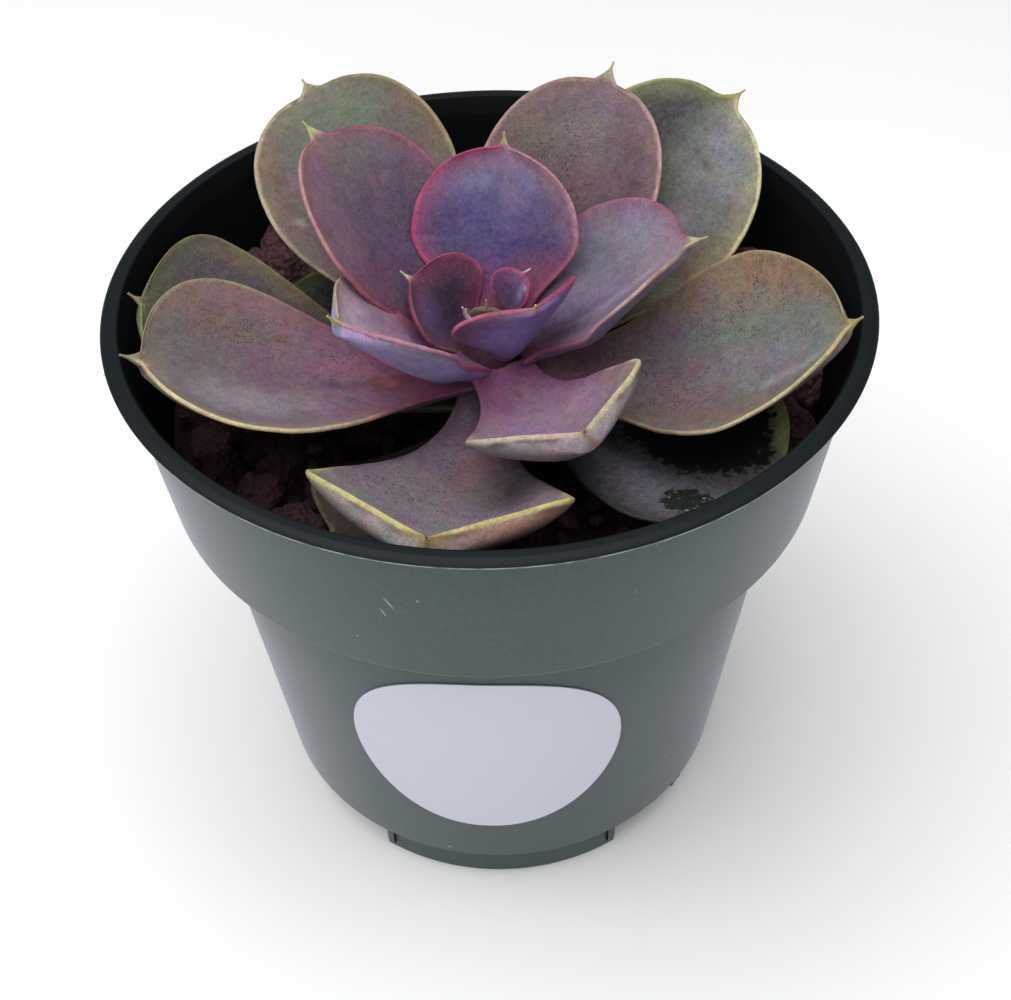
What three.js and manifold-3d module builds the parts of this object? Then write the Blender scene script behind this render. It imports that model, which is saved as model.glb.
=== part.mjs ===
// A potted echeveria: a rosette of fleshy, pointed leaves on a short stem, in a round nursery pot
// filled with potting mix and topped with lava gravel. Millimetres and degrees, +Z is up, -Y is the
// front, and the origin is the middle of the pot's foot. Azimuths are counter-clockwise from +X.

import * as THREE from 'three';
import { mergeVertices } from 'three/addons/utils/BufferGeometryUtils.js';
import { ConvexGeometry } from 'three/addons/geometries/ConvexGeometry.js';
import Module from 'manifold-3d';

const wasm = await Module();
wasm.setup();

// Driving dimensions of the pot
const POT_HEIGHT = 95.5;
const LIP_RADIUS = 54;
const LIP_HEIGHT = 1;
const BAND_TOP_RADIUS = 52.1;
const BAND_FOOT_RADIUS = 49;
const BAND_FOOT_Z = 68.3;
const BODY_TOP_RADIUS = 44.3;
const BODY_FOOT_RADIUS = 37.75;
const BODY_FOOT_Z = 8;
const FOOT_RADIUS = 35.6;
const WALL = 1.4;
const FLOOR_Z = 3;
const UNDERSIDE_Z = 1.5;
const UNDERSIDE_RADIUS = 27;
const POT_SEGMENTS = 56;
const FILLING_SEGMENTS = 32;
const NOTCH_AZIMUTHS = [-46, 44, 134, 224];
const NOTCH_HALF_ANGLE = 12.5;
const NOTCH_RADIUS = 31;
const LINER_MARGIN = 2.5;
const DRAIN_RADIUS = 1.9;
const DRAIN_Z = 5.3;

// Driving dimensions of the blank label
const LABEL_AZIMUTH = -93;
const LABEL_HALF_ANGLE = 28.5;
const LABEL_WIDEST_Z = 40;
const LABEL_RISE = 20;
const LABEL_DROP = 21;
const LABEL_THICKNESS = 0.5;

// Driving dimensions of the filling
const CLEARANCE = 0.3;
const MIX_TOP_Z = 64;
const STEM_HOLE_RADIUS = 5.6;
const CRUST_FRONT_Z = 73;
const CRUST_BACK_Z = 78;
const CRUST_CENTRE_Z = 68.5;
const STONE_COUNT = 58;
const STONE_POINTS = 10;
const STONE_SIZE = [4.2, 6.2];
const INNERMOST_STONE = 9;
const OUTERMOST_STONE = 45.7;

// The larger stones that lie on the others: radius, azimuth, height over the crust, size
const LOOSE_STONES = [
  [43, 139.5, 3, 6.4],
  [42, 122, 1.6, 4.6],
  [45.5, 144, 3.8, 3.2],
  [45, 28, 5.5, 5],
  [43, 20, 1.8, 4.6],
  [45, -4, 4, 5.4],
  [44, -15, 2.6, 4.8],
  [41, 92, 1.6, 5],
  [42, 196, 1.4, 4.6],
  [39, 212, 1.4, 4.4],
  [40.5, 227, 3.4, 4.8],
  [42, -72, 1.2, 4.4],
];

// Driving dimensions of the plant
const STEM_RADIUS = 3.6;
const STEM_TOP_Z = 88.5;
const CROWN_RADIUS = 5;
const CROWN_Z = 63;
const STEM_FOOT_Z = 55;
const MARGIN = 1;
const MARGIN_BELOW = 0.9;
const FOLD_ROUNDNESS = 0.06;

// What an ordinary leaf has where its row says nothing else: the radius and the width of its foot,
// its thickness and the share of it that is left at the end, how flat its underside is across, the
// length of its point, how far its cross-section is folded instead of round, and how blunt its end is
const ORDINARY_LEAF = {
  footRadius: 4, footWidth: 10, thickness: 4.6, end: 0.5, flat: 0.8, point: 3.5, fold: 0.2, blunt: 2.2,
};
const FLESHY_END = { end: 0.74, flat: 0.5 };
const INNER_LEAF = { footRadius: 3, footWidth: 6, thickness: 3 };
const HEART_LEAF = { footRadius: 2, footWidth: 4, thickness: 2.1, point: 1.4, blunt: 1.8 };

// The leaves, outermost first: azimuth, height of the foot, slope at the foot, slope added along the
// leaf, slope added near its end, length, width, place of the widest part, half angle of the cupped
// cross-section, twist, sideways sweep, and what differs from an ordinary leaf
const LEAVES = [
  [-35, 77.5, 1, 3, 14, 42.5, 35, 0.7, 26, 0, 4, { point: 2 }],
  [-119.5, 75, 3, 3, 6, 34.5, 20.5, 0.85, 16, 0, -36, {
    point: 2.5, thickness: 3.2, footWidth: 6, blunt: 2.4,
  }],
  [150, 75.5, 8, 5, 0, 33, 22, 0.66, 18, 0, 0, { point: 3, thickness: 3.6, footWidth: 8 }],
  [187, 76.5, 13, 25, 5, 49.2, 34.5, 0.8, 17, -8, -3, { point: 2.2 }],
  [127, 79, 31, 3, -22, 50.5, 30.5, 0.65, 18, -18, -16, {}],
  [40, 78, 26, 19, -25, 51.5, 31, 0.62, 8, 25, -3, {}],
  [-99.6, 79.5, -11, 54.5, 10, 48.3, 37.5, 0.88, 53, -1.2, 1, {
    ...FLESHY_END, fold: 0.75, blunt: 2.7, point: 1, footWidth: 8,
  }],
  [-17.7, 80, 4, 36, 4, 50, 34.5, 0.69, 36, 13, -8, { point: 3, blunt: 1.6 }],
  [-158, 81, 10, 21, -4, 48, 35.5, 0.71, 29, 0, -11, { point: 3 }],
  [60, 81, 35, 14, -12, 42.5, 28.5, 0.59, 18, 6, 2, {}],
  [142, 82, 40, 15, -20, 37, 32, 0.59, 21, 13, 0, {}],
  [-69, 82.5, -6.2, 57, 0, 33.3, 28.8, 0.82, 55, 11, -3, {
    ...FLESHY_END, fold: 0.9, blunt: 2.5, point: 1.2, footRadius: 3.2,
  }],
  [5.3, 84, 31, 12, -18, 28.7, 31, 0.53, 38, -3, -14, { point: 3.2, blunt: 2 }],
  [83, 84, 47, 13, 18, 26.5, 26, 0.52, 25, -7, -12, { point: 2.4 }],
  [-145, 84, 29, 18, 0, 25, 25, 0.66, 46, 4, -10, { fold: 0.4, point: 2.6 }],
  [161, 82, 61, -12, -8, 14.5, 19, 0.62, 47, -10, 6, { ...INNER_LEAF, point: 2.2 }],
  [-56, 86, 56, 0, 0, 14.5, 21.5, 0.62, 38, 3, -15, { ...INNER_LEAF, point: 1.4, fold: 0.4 }],
  [39, 87.5, 67, -9, -40, 8.1, 8.4, 0.64, 34, 0, 0, HEART_LEAF],
  [-100, 87.5, 78, 6, 0, 5.5, 6, 0.5, 30, 0, 0, { ...HEART_LEAF, footRadius: 1.3, footWidth: 3.2 }],
  [-160, 88, 66, 0, 0, 3.5, 5, 0.5, 30, 0, 0, { ...HEART_LEAF, footWidth: 3.2, thickness: 1.6 }],
].map(([azimuth, footZ, rise, bend, curl, length, width, belly, cup, twist, sway, special]) => ({
  ...ORDINARY_LEAF, azimuth, footZ, rise, bend, curl, length, width, belly, cup, twist, sway, ...special,
}));

const radians = THREE.MathUtils.degToRad;
const clamp = THREE.MathUtils.clamp;

// Repeatable random numbers from 0 to 1
let randomState = 4211;
function random() {
  randomState = (randomState * 16807) % 2147483647;
  return randomState / 2147483647;
}

function between(low, high) {
  return low + (high - low) * random();
}

// A closed three.js geometry as a solid that can be cut and joined
function solidOf(geometry) {
  const bare = geometry.clone();
  bare.deleteAttribute('normal');
  bare.deleteAttribute('uv');
  const merged = mergeVertices(bare, 1e-5);
  return new wasm.Manifold(new wasm.Mesh({
    numProp: 3,
    vertProperties: new Float32Array(merged.attributes.position.array),
    triVerts: new Uint32Array(merged.index.array),
  }));
}

// The largest connected body of a solid, as a three.js geometry
function geometryOf(solid) {
  const bodies = solid.decompose();
  bodies.sort((a, b) => b.volume() - a.volume());
  const mesh = bodies[0].getMesh();
  const geometry = new THREE.BufferGeometry();
  geometry.setAttribute('position', new THREE.BufferAttribute(mesh.vertProperties, 3));
  geometry.setIndex(new THREE.BufferAttribute(mesh.triVerts, 1));
  geometry.computeVertexNormals();
  return geometry;
}

// A closed body through rings of equally many points: its two end rings are capped, or the last ring
// is joined to the first
function bodyThroughRings(rings, closed = false) {
  const size = rings[0].length;
  const points = rings.flat();
  const triangles = [];
  const spans = closed ? rings.length : rings.length - 1;
  for (let i = 0; i < spans; i++) {
    for (let j = 0; j < size; j++) {
      const a = i * size + j;
      const b = i * size + (j + 1) % size;
      const c = ((i + 1) % rings.length) * size + j;
      const d = ((i + 1) % rings.length) * size + (j + 1) % size;
      triangles.push(a, c, b, b, c, d);
    }
  }
  if (!closed) {
    for (const [ring, flip] of [[0, false], [rings.length - 1, true]]) {
      const middle = new THREE.Vector3();
      rings[ring].forEach((point) => middle.addScaledVector(point, 1 / size));
      points.push(middle);
      for (let j = 0; j < size; j++) {
        const a = ring * size + j;
        const b = ring * size + (j + 1) % size;
        triangles.push(points.length - 1, ...(flip ? [b, a] : [a, b]));
      }
    }
  }
  const geometry = new THREE.BufferGeometry().setFromPoints(points);
  geometry.setIndex(triangles);
  return geometry;
}

// A body of revolution about the Z axis from a profile of [radius, height] pairs
function turned(profile, segments) {
  const outline = profile.map(([radius, z]) => new THREE.Vector2(radius, z));
  return new THREE.LatheGeometry(outline, segments).rotateX(Math.PI / 2);
}

// A point from a radius, an azimuth in degrees and a height
function polar(radius, azimuth, z) {
  return new THREE.Vector3(radius * Math.cos(radians(azimuth)), radius * Math.sin(radians(azimuth)), z);
}

// A wedge of a ring that stands on its foot
function ringWedge(innerRadius, outerRadius, azimuth, halfAngle, bottomZ, topZ) {
  const steps = 4;
  const rings = [];
  for (let i = 0; i <= steps; i++) {
    const angle = azimuth - halfAngle + 2 * halfAngle * i / steps;
    rings.push([
      polar(innerRadius, angle, bottomZ),
      polar(outerRadius, angle, bottomZ),
      polar(outerRadius, angle, topZ),
      polar(innerRadius, angle, topZ),
    ]);
  }
  return solidOf(bodyThroughRings(rings));
}

// Outer radius of the tapering body below the band
function bodyRadius(z) {
  const share = (z - BODY_FOOT_Z) / (BAND_FOOT_Z - BODY_FOOT_Z);
  return BODY_FOOT_RADIUS + (BODY_TOP_RADIUS - BODY_FOOT_RADIUS) * share;
}

// Inside profile of the pot, from the floor up, drawn inwards by a clearance
function insideProfile(gap, topZ) {
  const bandSlope = (BAND_TOP_RADIUS - BAND_FOOT_RADIUS) / (POT_HEIGHT - LIP_HEIGHT - BAND_FOOT_Z);
  const stepZ = BAND_FOOT_Z + WALL + gap;
  const bandInside = BAND_FOOT_RADIUS - WALL - gap;
  return [
    [0, FLOOR_Z + gap],
    [FOOT_RADIUS - WALL - gap, FLOOR_Z + gap],
    [FOOT_RADIUS - WALL - gap, BODY_FOOT_Z + WALL + gap],
    [BODY_FOOT_RADIUS - WALL - gap, BODY_FOOT_Z + WALL + gap],
    [BODY_TOP_RADIUS - WALL - gap, stepZ],
    [bandInside, stepZ],
    [bandInside + bandSlope * (topZ - stepZ), topZ],
    [0, topZ],
  ];
}

// The room that the pot's wall takes round a notch, grown by a clearance
function makeLiner(azimuth, gap) {
  const halfAngle = NOTCH_HALF_ANGLE + LINER_MARGIN + 2 * gap;
  return ringWedge(NOTCH_RADIUS - WALL - gap, LIP_RADIUS, azimuth, halfAngle, -1, BODY_FOOT_Z + WALL + gap);
}

// The moulded pot: lip, band, tapering body and notched foot, with a drain hole in each notch
function makePot() {
  const bandTopZ = POT_HEIGHT - LIP_HEIGHT;
  const outside = solidOf(turned([
    [0, UNDERSIDE_Z],
    [UNDERSIDE_RADIUS, UNDERSIDE_Z],
    [UNDERSIDE_RADIUS + 0.6, 0],
    [FOOT_RADIUS - 0.5, 0],
    [FOOT_RADIUS, 0.5],
    [FOOT_RADIUS, BODY_FOOT_Z],
    [BODY_FOOT_RADIUS - 0.3, BODY_FOOT_Z],
    [BODY_FOOT_RADIUS, BODY_FOOT_Z + 0.4],
    [BODY_TOP_RADIUS, BAND_FOOT_Z],
    [BAND_FOOT_RADIUS - 0.5, BAND_FOOT_Z],
    [BAND_FOOT_RADIUS, BAND_FOOT_Z + 0.5],
    [BAND_TOP_RADIUS, bandTopZ],
    [LIP_RADIUS - 0.4, bandTopZ],
    [LIP_RADIUS, bandTopZ + 0.4],
    [LIP_RADIUS, POT_HEIGHT - 0.5],
    [LIP_RADIUS - 0.5, POT_HEIGHT],
    [0, POT_HEIGHT],
  ], POT_SEGMENTS));
  let inside = solidOf(turned(insideProfile(0, POT_HEIGHT + 2), POT_SEGMENTS));
  let notches = null;
  let drains = null;
  for (const azimuth of NOTCH_AZIMUTHS) {
    const notch = ringWedge(NOTCH_RADIUS, LIP_RADIUS, azimuth, NOTCH_HALF_ANGLE, -1, BODY_FOOT_Z);
    const liner = makeLiner(azimuth, 0);
    const drill = new THREE.CylinderGeometry(DRAIN_RADIUS, DRAIN_RADIUS, 4 * WALL, 16);
    drill.rotateZ(Math.PI / 2);
    drill.translate(NOTCH_RADIUS, 0, DRAIN_Z);
    drill.rotateZ(radians(azimuth));
    notches = notches ? notches.add(notch) : notch;
    drains = drains ? drains.add(solidOf(drill)) : solidOf(drill);
    inside = inside.subtract(liner);
  }
  return geometryOf(outside.subtract(notches).subtract(inside).subtract(drains));
}

// The label, a thin sheet on the front of the body, round above and drawn to a blunt point below
function makeLabel() {
  const columns = 20;
  const rings = [];
  for (let i = 0; i <= columns; i++) {
    const share = 0.998 * (2 * i / columns - 1);
    const azimuth = LABEL_AZIMUTH + LABEL_HALF_ANGLE * Math.sin(share * Math.PI / 2);
    const across = Math.abs(Math.sin(share * Math.PI / 2));
    const top = LABEL_WIDEST_Z + LABEL_RISE * Math.sqrt(1 - across ** 2.4);
    const bottom = LABEL_WIDEST_Z - LABEL_DROP * Math.sqrt(1 - across ** 2.2);
    const back = CLEARANCE;
    const front = CLEARANCE + LABEL_THICKNESS;
    rings.push([
      polar(bodyRadius(bottom) + back, azimuth, bottom),
      polar(bodyRadius(bottom) + front, azimuth, bottom),
      polar(bodyRadius(top) + front, azimuth, top),
      polar(bodyRadius(top) + back, azimuth, top),
    ]);
  }
  return bodyThroughRings(rings);
}

// The plug of potting mix, with a plain hole for the root crown
function makePottingMix() {
  const floor = insideProfile(CLEARANCE, POT_HEIGHT);
  const wallRadius = bodyRadius(MIX_TOP_Z) - WALL - CLEARANCE;
  const profile = [...floor.slice(0, 4), [wallRadius, MIX_TOP_Z], [0, MIX_TOP_Z]];
  let plug = solidOf(turned(profile, FILLING_SEGMENTS));
  for (const azimuth of NOTCH_AZIMUTHS) {
    plug = plug.subtract(makeLiner(azimuth, CLEARANCE));
  }
  const hole = new THREE.CylinderGeometry(STEM_HOLE_RADIUS, STEM_HOLE_RADIUS, 20, 24);
  hole.rotateX(Math.PI / 2);
  hole.translate(0, 0, STEM_FOOT_Z - CLEARANCE + 10);
  return geometryOf(plug.subtract(solidOf(hole)));
}

// Height of the gravel's crust: sunk round the stem, and heaped towards the back
function crustHeight(radius, azimuth) {
  const tilt = (1 + Math.sin(radians(azimuth))) / 2;
  const edge = CRUST_FRONT_Z + (CRUST_BACK_Z - CRUST_FRONT_Z) * tilt;
  const share = clamp((radius - 10) / 32, 0, 1);
  return CRUST_CENTRE_Z + (edge - CRUST_CENTRE_Z) * share ** 1.5;
}

// One broken lava stone: the hull of random points near a flattened ball
function makeStone(centre, size) {
  const points = [];
  const long = between(0.85, 1.25);
  const stretch = new THREE.Vector3(long, 1 / long, between(0.6, 0.85));
  const turn = between(0, Math.PI);
  for (let i = 0; i < STONE_POINTS; i++) {
    const height = 1 - 2 * (i + 0.5) / STONE_POINTS;
    const angle = i * 2.4 + between(-0.4, 0.4);
    const round = Math.sqrt(1 - height * height);
    const reach = size * between(0.82, 1.12);
    const point = new THREE.Vector3(round * Math.cos(angle), round * Math.sin(angle), height);
    points.push(point.multiply(stretch).multiplyScalar(reach));
  }
  const tilt = new THREE.Euler(between(-0.5, 0.5), between(-0.5, 0.5), turn);
  return solidOf(new ConvexGeometry(points.map((point) => point.applyEuler(tilt).add(centre))));
}

// The lava gravel: stones sunk into one crust that fills the band of the pot
function makeGravel(plant) {
  const sides = FILLING_SEGMENTS;
  const rings = [];
  for (let i = 0; i < sides; i++) {
    const azimuth = 360 * i / sides;
    const profile = [[STEM_HOLE_RADIUS, MIX_TOP_Z + CLEARANCE], [LIP_RADIUS, MIX_TOP_Z + CLEARANCE]];
    for (const radius of [LIP_RADIUS, 42, 32, 22, 12, STEM_HOLE_RADIUS]) {
      profile.push([radius, crustHeight(radius, azimuth)]);
    }
    rings.push(profile.map(([radius, z]) => polar(radius, azimuth, z)));
  }
  let gravel = solidOf(bodyThroughRings(rings, true));
  for (let i = 0; i < STONE_COUNT; i++) {
    const reach = Math.sqrt((i + 0.5) / STONE_COUNT);
    const radius = INNERMOST_STONE + (OUTERMOST_STONE - INNERMOST_STONE) * reach;
    const azimuth = i * 137.5 + between(-6, 6);
    const size = (0.45 + 0.55 * reach) * between(...STONE_SIZE);
    gravel = gravel.add(makeStone(polar(radius, azimuth, crustHeight(radius, azimuth) + 0.1 * size), size));
  }
  for (const [radius, azimuth, lift, size] of LOOSE_STONES) {
    gravel = gravel.add(makeStone(polar(radius, azimuth, crustHeight(radius, azimuth) + lift), size));
  }
  const room = solidOf(turned(insideProfile(CLEARANCE, POT_HEIGHT), FILLING_SEGMENTS));
  return geometryOf(gravel.intersect(room).subtract(plant));
}

// The short stem, from its root crown in the mix to its tip in the rosette's heart
function makeStem(thicker) {
  const radius = STEM_RADIUS + thicker;
  return turned([
    [0, STEM_FOOT_Z - thicker],
    [2 + thicker, STEM_FOOT_Z - thicker],
    [CROWN_RADIUS - 0.8 + thicker, STEM_FOOT_Z + 3],
    [CROWN_RADIUS + thicker, CROWN_Z],
    [radius + 0.5, CROWN_Z + 6],
    [radius, CROWN_Z + 12],
    [radius, STEM_TOP_Z - 6],
    [radius - 1.1, STEM_TOP_Z - 3.5],
    [radius - 2.4, STEM_TOP_Z - 1],
    [0, STEM_TOP_Z + thicker],
  ], 16);
}

// Half the width of a leaf at a distance from its foot: narrow foot, round blade and drawn-out point
function halfWidth(leaf, x) {
  const wide = leaf.width / 2;
  const foot = leaf.footWidth / 2;
  const share = clamp(x / leaf.length, 0, 1);
  const toTip = clamp((share - leaf.belly) / (1 - leaf.belly), 0, 1);
  const blade = share < leaf.belly
    ? foot + (wide - foot) * (1 - Math.cos(Math.PI * (share / leaf.belly) ** 1.15)) / 2
    : wide * Math.sqrt(1 - toTip ** leaf.blunt);
  const left = clamp(leaf.length + leaf.point - x, 0, 6);
  const point = Math.min(0.3 + 0.18 * left ** 1.75, 3) * clamp((share - 0.7) / 0.3, 0, 1);
  return Math.hypot(blade, point);
}

// The direction along a leaf, across it and up from its upper face, at a distance from its foot
function directions(leaf, x) {
  const share = Math.min(x / leaf.length, 1.2);
  const nearEnd = clamp((share - 0.6) / 0.4, 0, 1.15);
  const slope = radians(leaf.rise + leaf.bend * share + leaf.curl * nearEnd ** 2);
  const heading = radians(leaf.azimuth + leaf.sway * (share - 0.35));
  const turn = radians(leaf.twist) * Math.min(share / 0.5, 1);
  const along = new THREE.Vector3(
    Math.cos(slope) * Math.cos(heading), Math.cos(slope) * Math.sin(heading), Math.sin(slope),
  );
  const level = new THREE.Vector3(-Math.sin(heading), Math.cos(heading), 0);
  const over = along.clone().cross(level);
  const across = level.clone().multiplyScalar(Math.cos(turn)).addScaledVector(over, Math.sin(turn));
  const up = over.clone().multiplyScalar(Math.cos(turn)).addScaledVector(level, -Math.sin(turn));
  return { along, across, up, share };
}

// One cross-section of a leaf, as a ring of points: its upper face and then its lower face
function leafRing(leaf, middle, x, columns, swell) {
  const { across, up, share } = directions(leaf, x);
  const wide = halfWidth(leaf, x);
  const angle = radians(leaf.cup) * (0.4 + 0.6 * Math.min(share / 0.55, 1));
  const thinning = (1 - Math.cos(Math.PI * Math.min(share, 1))) / 2;
  const slim = leaf.thickness * (1 - (1 - leaf.end) * thinning);
  const deepest = Math.min(slim, MARGIN + wide * 0.55);
  const upper = [];
  const lower = [];
  for (let i = 0; i <= columns; i++) {
    const v = 2 * i / columns - 1;
    const roundSide = wide / angle * Math.sin(angle * v);
    const roundLift = wide / angle * (1 - Math.cos(angle * v));
    const foldSide = wide * v * Math.cos(angle / 2);
    const foldLift = wide * (Math.sqrt(v * v + FOLD_ROUNDNESS) - Math.sqrt(FOLD_ROUNDNESS)) * Math.sin(angle / 2);
    const side = THREE.MathUtils.lerp(roundSide, foldSide, leaf.fold) + swell * v;
    const lift = THREE.MathUtils.lerp(roundLift, foldLift, leaf.fold);
    const depth = MARGIN_BELOW + (deepest - MARGIN_BELOW) * (1 - v * v) ** leaf.flat;
    const point = middle.clone().addScaledVector(across, side).addScaledVector(up, lift + swell);
    upper.push(point);
    lower.unshift(point.clone().addScaledVector(up, -depth - 2 * swell));
  }
  return [...upper, ...lower];
}

// A leaf as a closed body, its midline followed from the foot in short steps; a swollen copy of a leaf
// is what its neighbours are cut by
function makeLeaf(leaf, swell = 0) {
  const small = leaf.length < 20;
  const columns = small ? 4 : 6;
  const shares = small
    ? [0, 0.3, 0.5, 0.68, 0.82, 0.92, 1]
    : [0, 0.13, 0.26, 0.38, 0.5, 0.6, 0.7, 0.79, 0.87, 0.93, 0.975, 1];
  const stations = shares.map((share) => share * leaf.length);
  stations.push(leaf.length + 0.4 * leaf.point, leaf.length + leaf.point);
  const middle = polar(leaf.footRadius, leaf.azimuth, leaf.footZ);
  const rings = [];
  let x = 0;
  for (const station of stations) {
    const steps = 8;
    const step = (station - x) / steps;
    for (let i = 0; i < steps; i++) {
      middle.addScaledVector(directions(leaf, x + step / 2).along, step);
      x += step;
    }
    rings.push(leafRing(leaf, middle, x, columns, swell));
  }
  if (swell > 0) {
    const { along } = directions(leaf, x);
    rings.push(rings.at(-1).map((point) => point.clone().addScaledVector(along, swell)));
  }
  return bodyThroughRings(rings);
}

// Leaves from the heart outwards: each gives way to the stem and to every leaf above it
function makeLeaves() {
  let taken = solidOf(makeStem(CLEARANCE));
  const geometries = [];
  for (const leaf of [...LEAVES].reverse()) {
    geometries.unshift(geometryOf(solidOf(makeLeaf(leaf)).subtract(taken)));
    taken = taken.add(solidOf(makeLeaf(leaf, CLEARANCE + 0.1)));
  }
  return { geometries, taken };
}

// Colours follow the rosette: green and olive outside, mauve between, violet in the heart
const LEAF_COLOURS = [
  0x5d5f66, 0x4c4a45, 0x55583f, 0x6f6c5c, 0x7a7c66, 0x6e7462, 0x8a7780, 0x8c8480, 0x957885, 0x80676e,
  0x83697a, 0x92738a, 0x8f7f98, 0x685c86, 0x8a84a8, 0x5a4263, 0x6c5f94, 0x5a4a70, 0x6b5d6c, 0x7a6878,
];

function addMesh(group, name, geometry, color, roughness) {
  const mesh = new THREE.Mesh(geometry, new THREE.MeshStandardMaterial({ color, roughness, metalness: 0 }));
  mesh.name = name;
  group.add(mesh);
}

const plant = makeLeaves();
const echeveria = new THREE.Group();
addMesh(echeveria, 'pot', makePot(), 0x3f5350, 0.55);
addMesh(echeveria, 'label', makeLabel(), 0xc8cbda, 0.45);
addMesh(echeveria, 'potting_mix', makePottingMix(), 0x2b211c, 0.95);
addMesh(echeveria, 'lava_gravel', makeGravel(plant.taken), 0x4a3336, 0.9);
addMesh(echeveria, 'stem', makeStem(0), 0x6b6a52, 0.7);
plant.geometries.forEach((geometry, index) => {
  const name = `leaf_${String(index + 1).padStart(2, '0')}`;
  addMesh(echeveria, name, geometry, LEAF_COLOURS[index], 0.6);
});

export default echeveria;
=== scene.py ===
import math

import bmesh
import bpy
import numpy as np
from bpy.props import FloatProperty, FloatVectorProperty, IntProperty, PointerProperty
from bpy.types import Operator, Panel, PropertyGroup
from mathutils import Matrix, Vector, noise


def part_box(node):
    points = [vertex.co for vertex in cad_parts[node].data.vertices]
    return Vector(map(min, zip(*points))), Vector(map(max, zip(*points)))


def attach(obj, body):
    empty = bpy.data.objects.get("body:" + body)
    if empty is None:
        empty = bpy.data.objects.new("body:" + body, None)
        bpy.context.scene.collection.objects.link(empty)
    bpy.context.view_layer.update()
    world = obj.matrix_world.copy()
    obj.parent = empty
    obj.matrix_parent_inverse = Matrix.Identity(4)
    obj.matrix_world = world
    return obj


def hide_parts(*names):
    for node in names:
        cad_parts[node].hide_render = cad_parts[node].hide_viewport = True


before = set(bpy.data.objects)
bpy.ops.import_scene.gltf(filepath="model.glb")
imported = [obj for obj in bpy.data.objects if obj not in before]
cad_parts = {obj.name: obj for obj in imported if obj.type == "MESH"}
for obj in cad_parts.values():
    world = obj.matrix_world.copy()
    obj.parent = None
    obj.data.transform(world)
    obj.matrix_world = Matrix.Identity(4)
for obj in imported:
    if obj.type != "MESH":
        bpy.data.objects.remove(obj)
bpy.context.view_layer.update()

bl_info = {
    "name": "Potted echeveria",
    "version": (1, 0, 0),
    "blender": (4, 5, 0),
    "location": "3D View > Sidebar > Echeveria",
    "description": "Dresses the solids of a potted echeveria with their fine shapes and finishes",
    "category": "Object",
}

MM = 0.001
# The colour of the brown line beneath a leaf's pale margin
RUST = "#6A4030"
# How round the bottom of a leaf's fold is, as the square of a share of its half width
FOLD_ROUNDNESS = 0.06
# The seed of the vector noise that makes the leaves' colours drift, which has another pattern in every run
# where it isn't seeded
DRIFT_SEED = 88

# What an ordinary leaf has where its row says nothing else, in millimetres and degrees
ORDINARY_LEAF = {
    "foot_radius": 4, "foot_width": 10, "thickness": 4.6, "point": 3.5, "fold": 0.2, "blunt": 2.2,
    "end": 0.5, "flat": 0.8,
}
FLESHY_END = {"end": 0.74, "flat": 0.5}
INNER_LEAF = {"foot_radius": 3, "foot_width": 6, "thickness": 3}
HEART_LEAF = {"foot_radius": 2, "foot_width": 4, "thickness": 2.1, "point": 1.4, "blunt": 1.8}
LEAF_FIELDS = (
    "azimuth", "foot_z", "rise", "bend", "curl", "length", "width", "belly", "cup", "twist", "sway",
)
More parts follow.
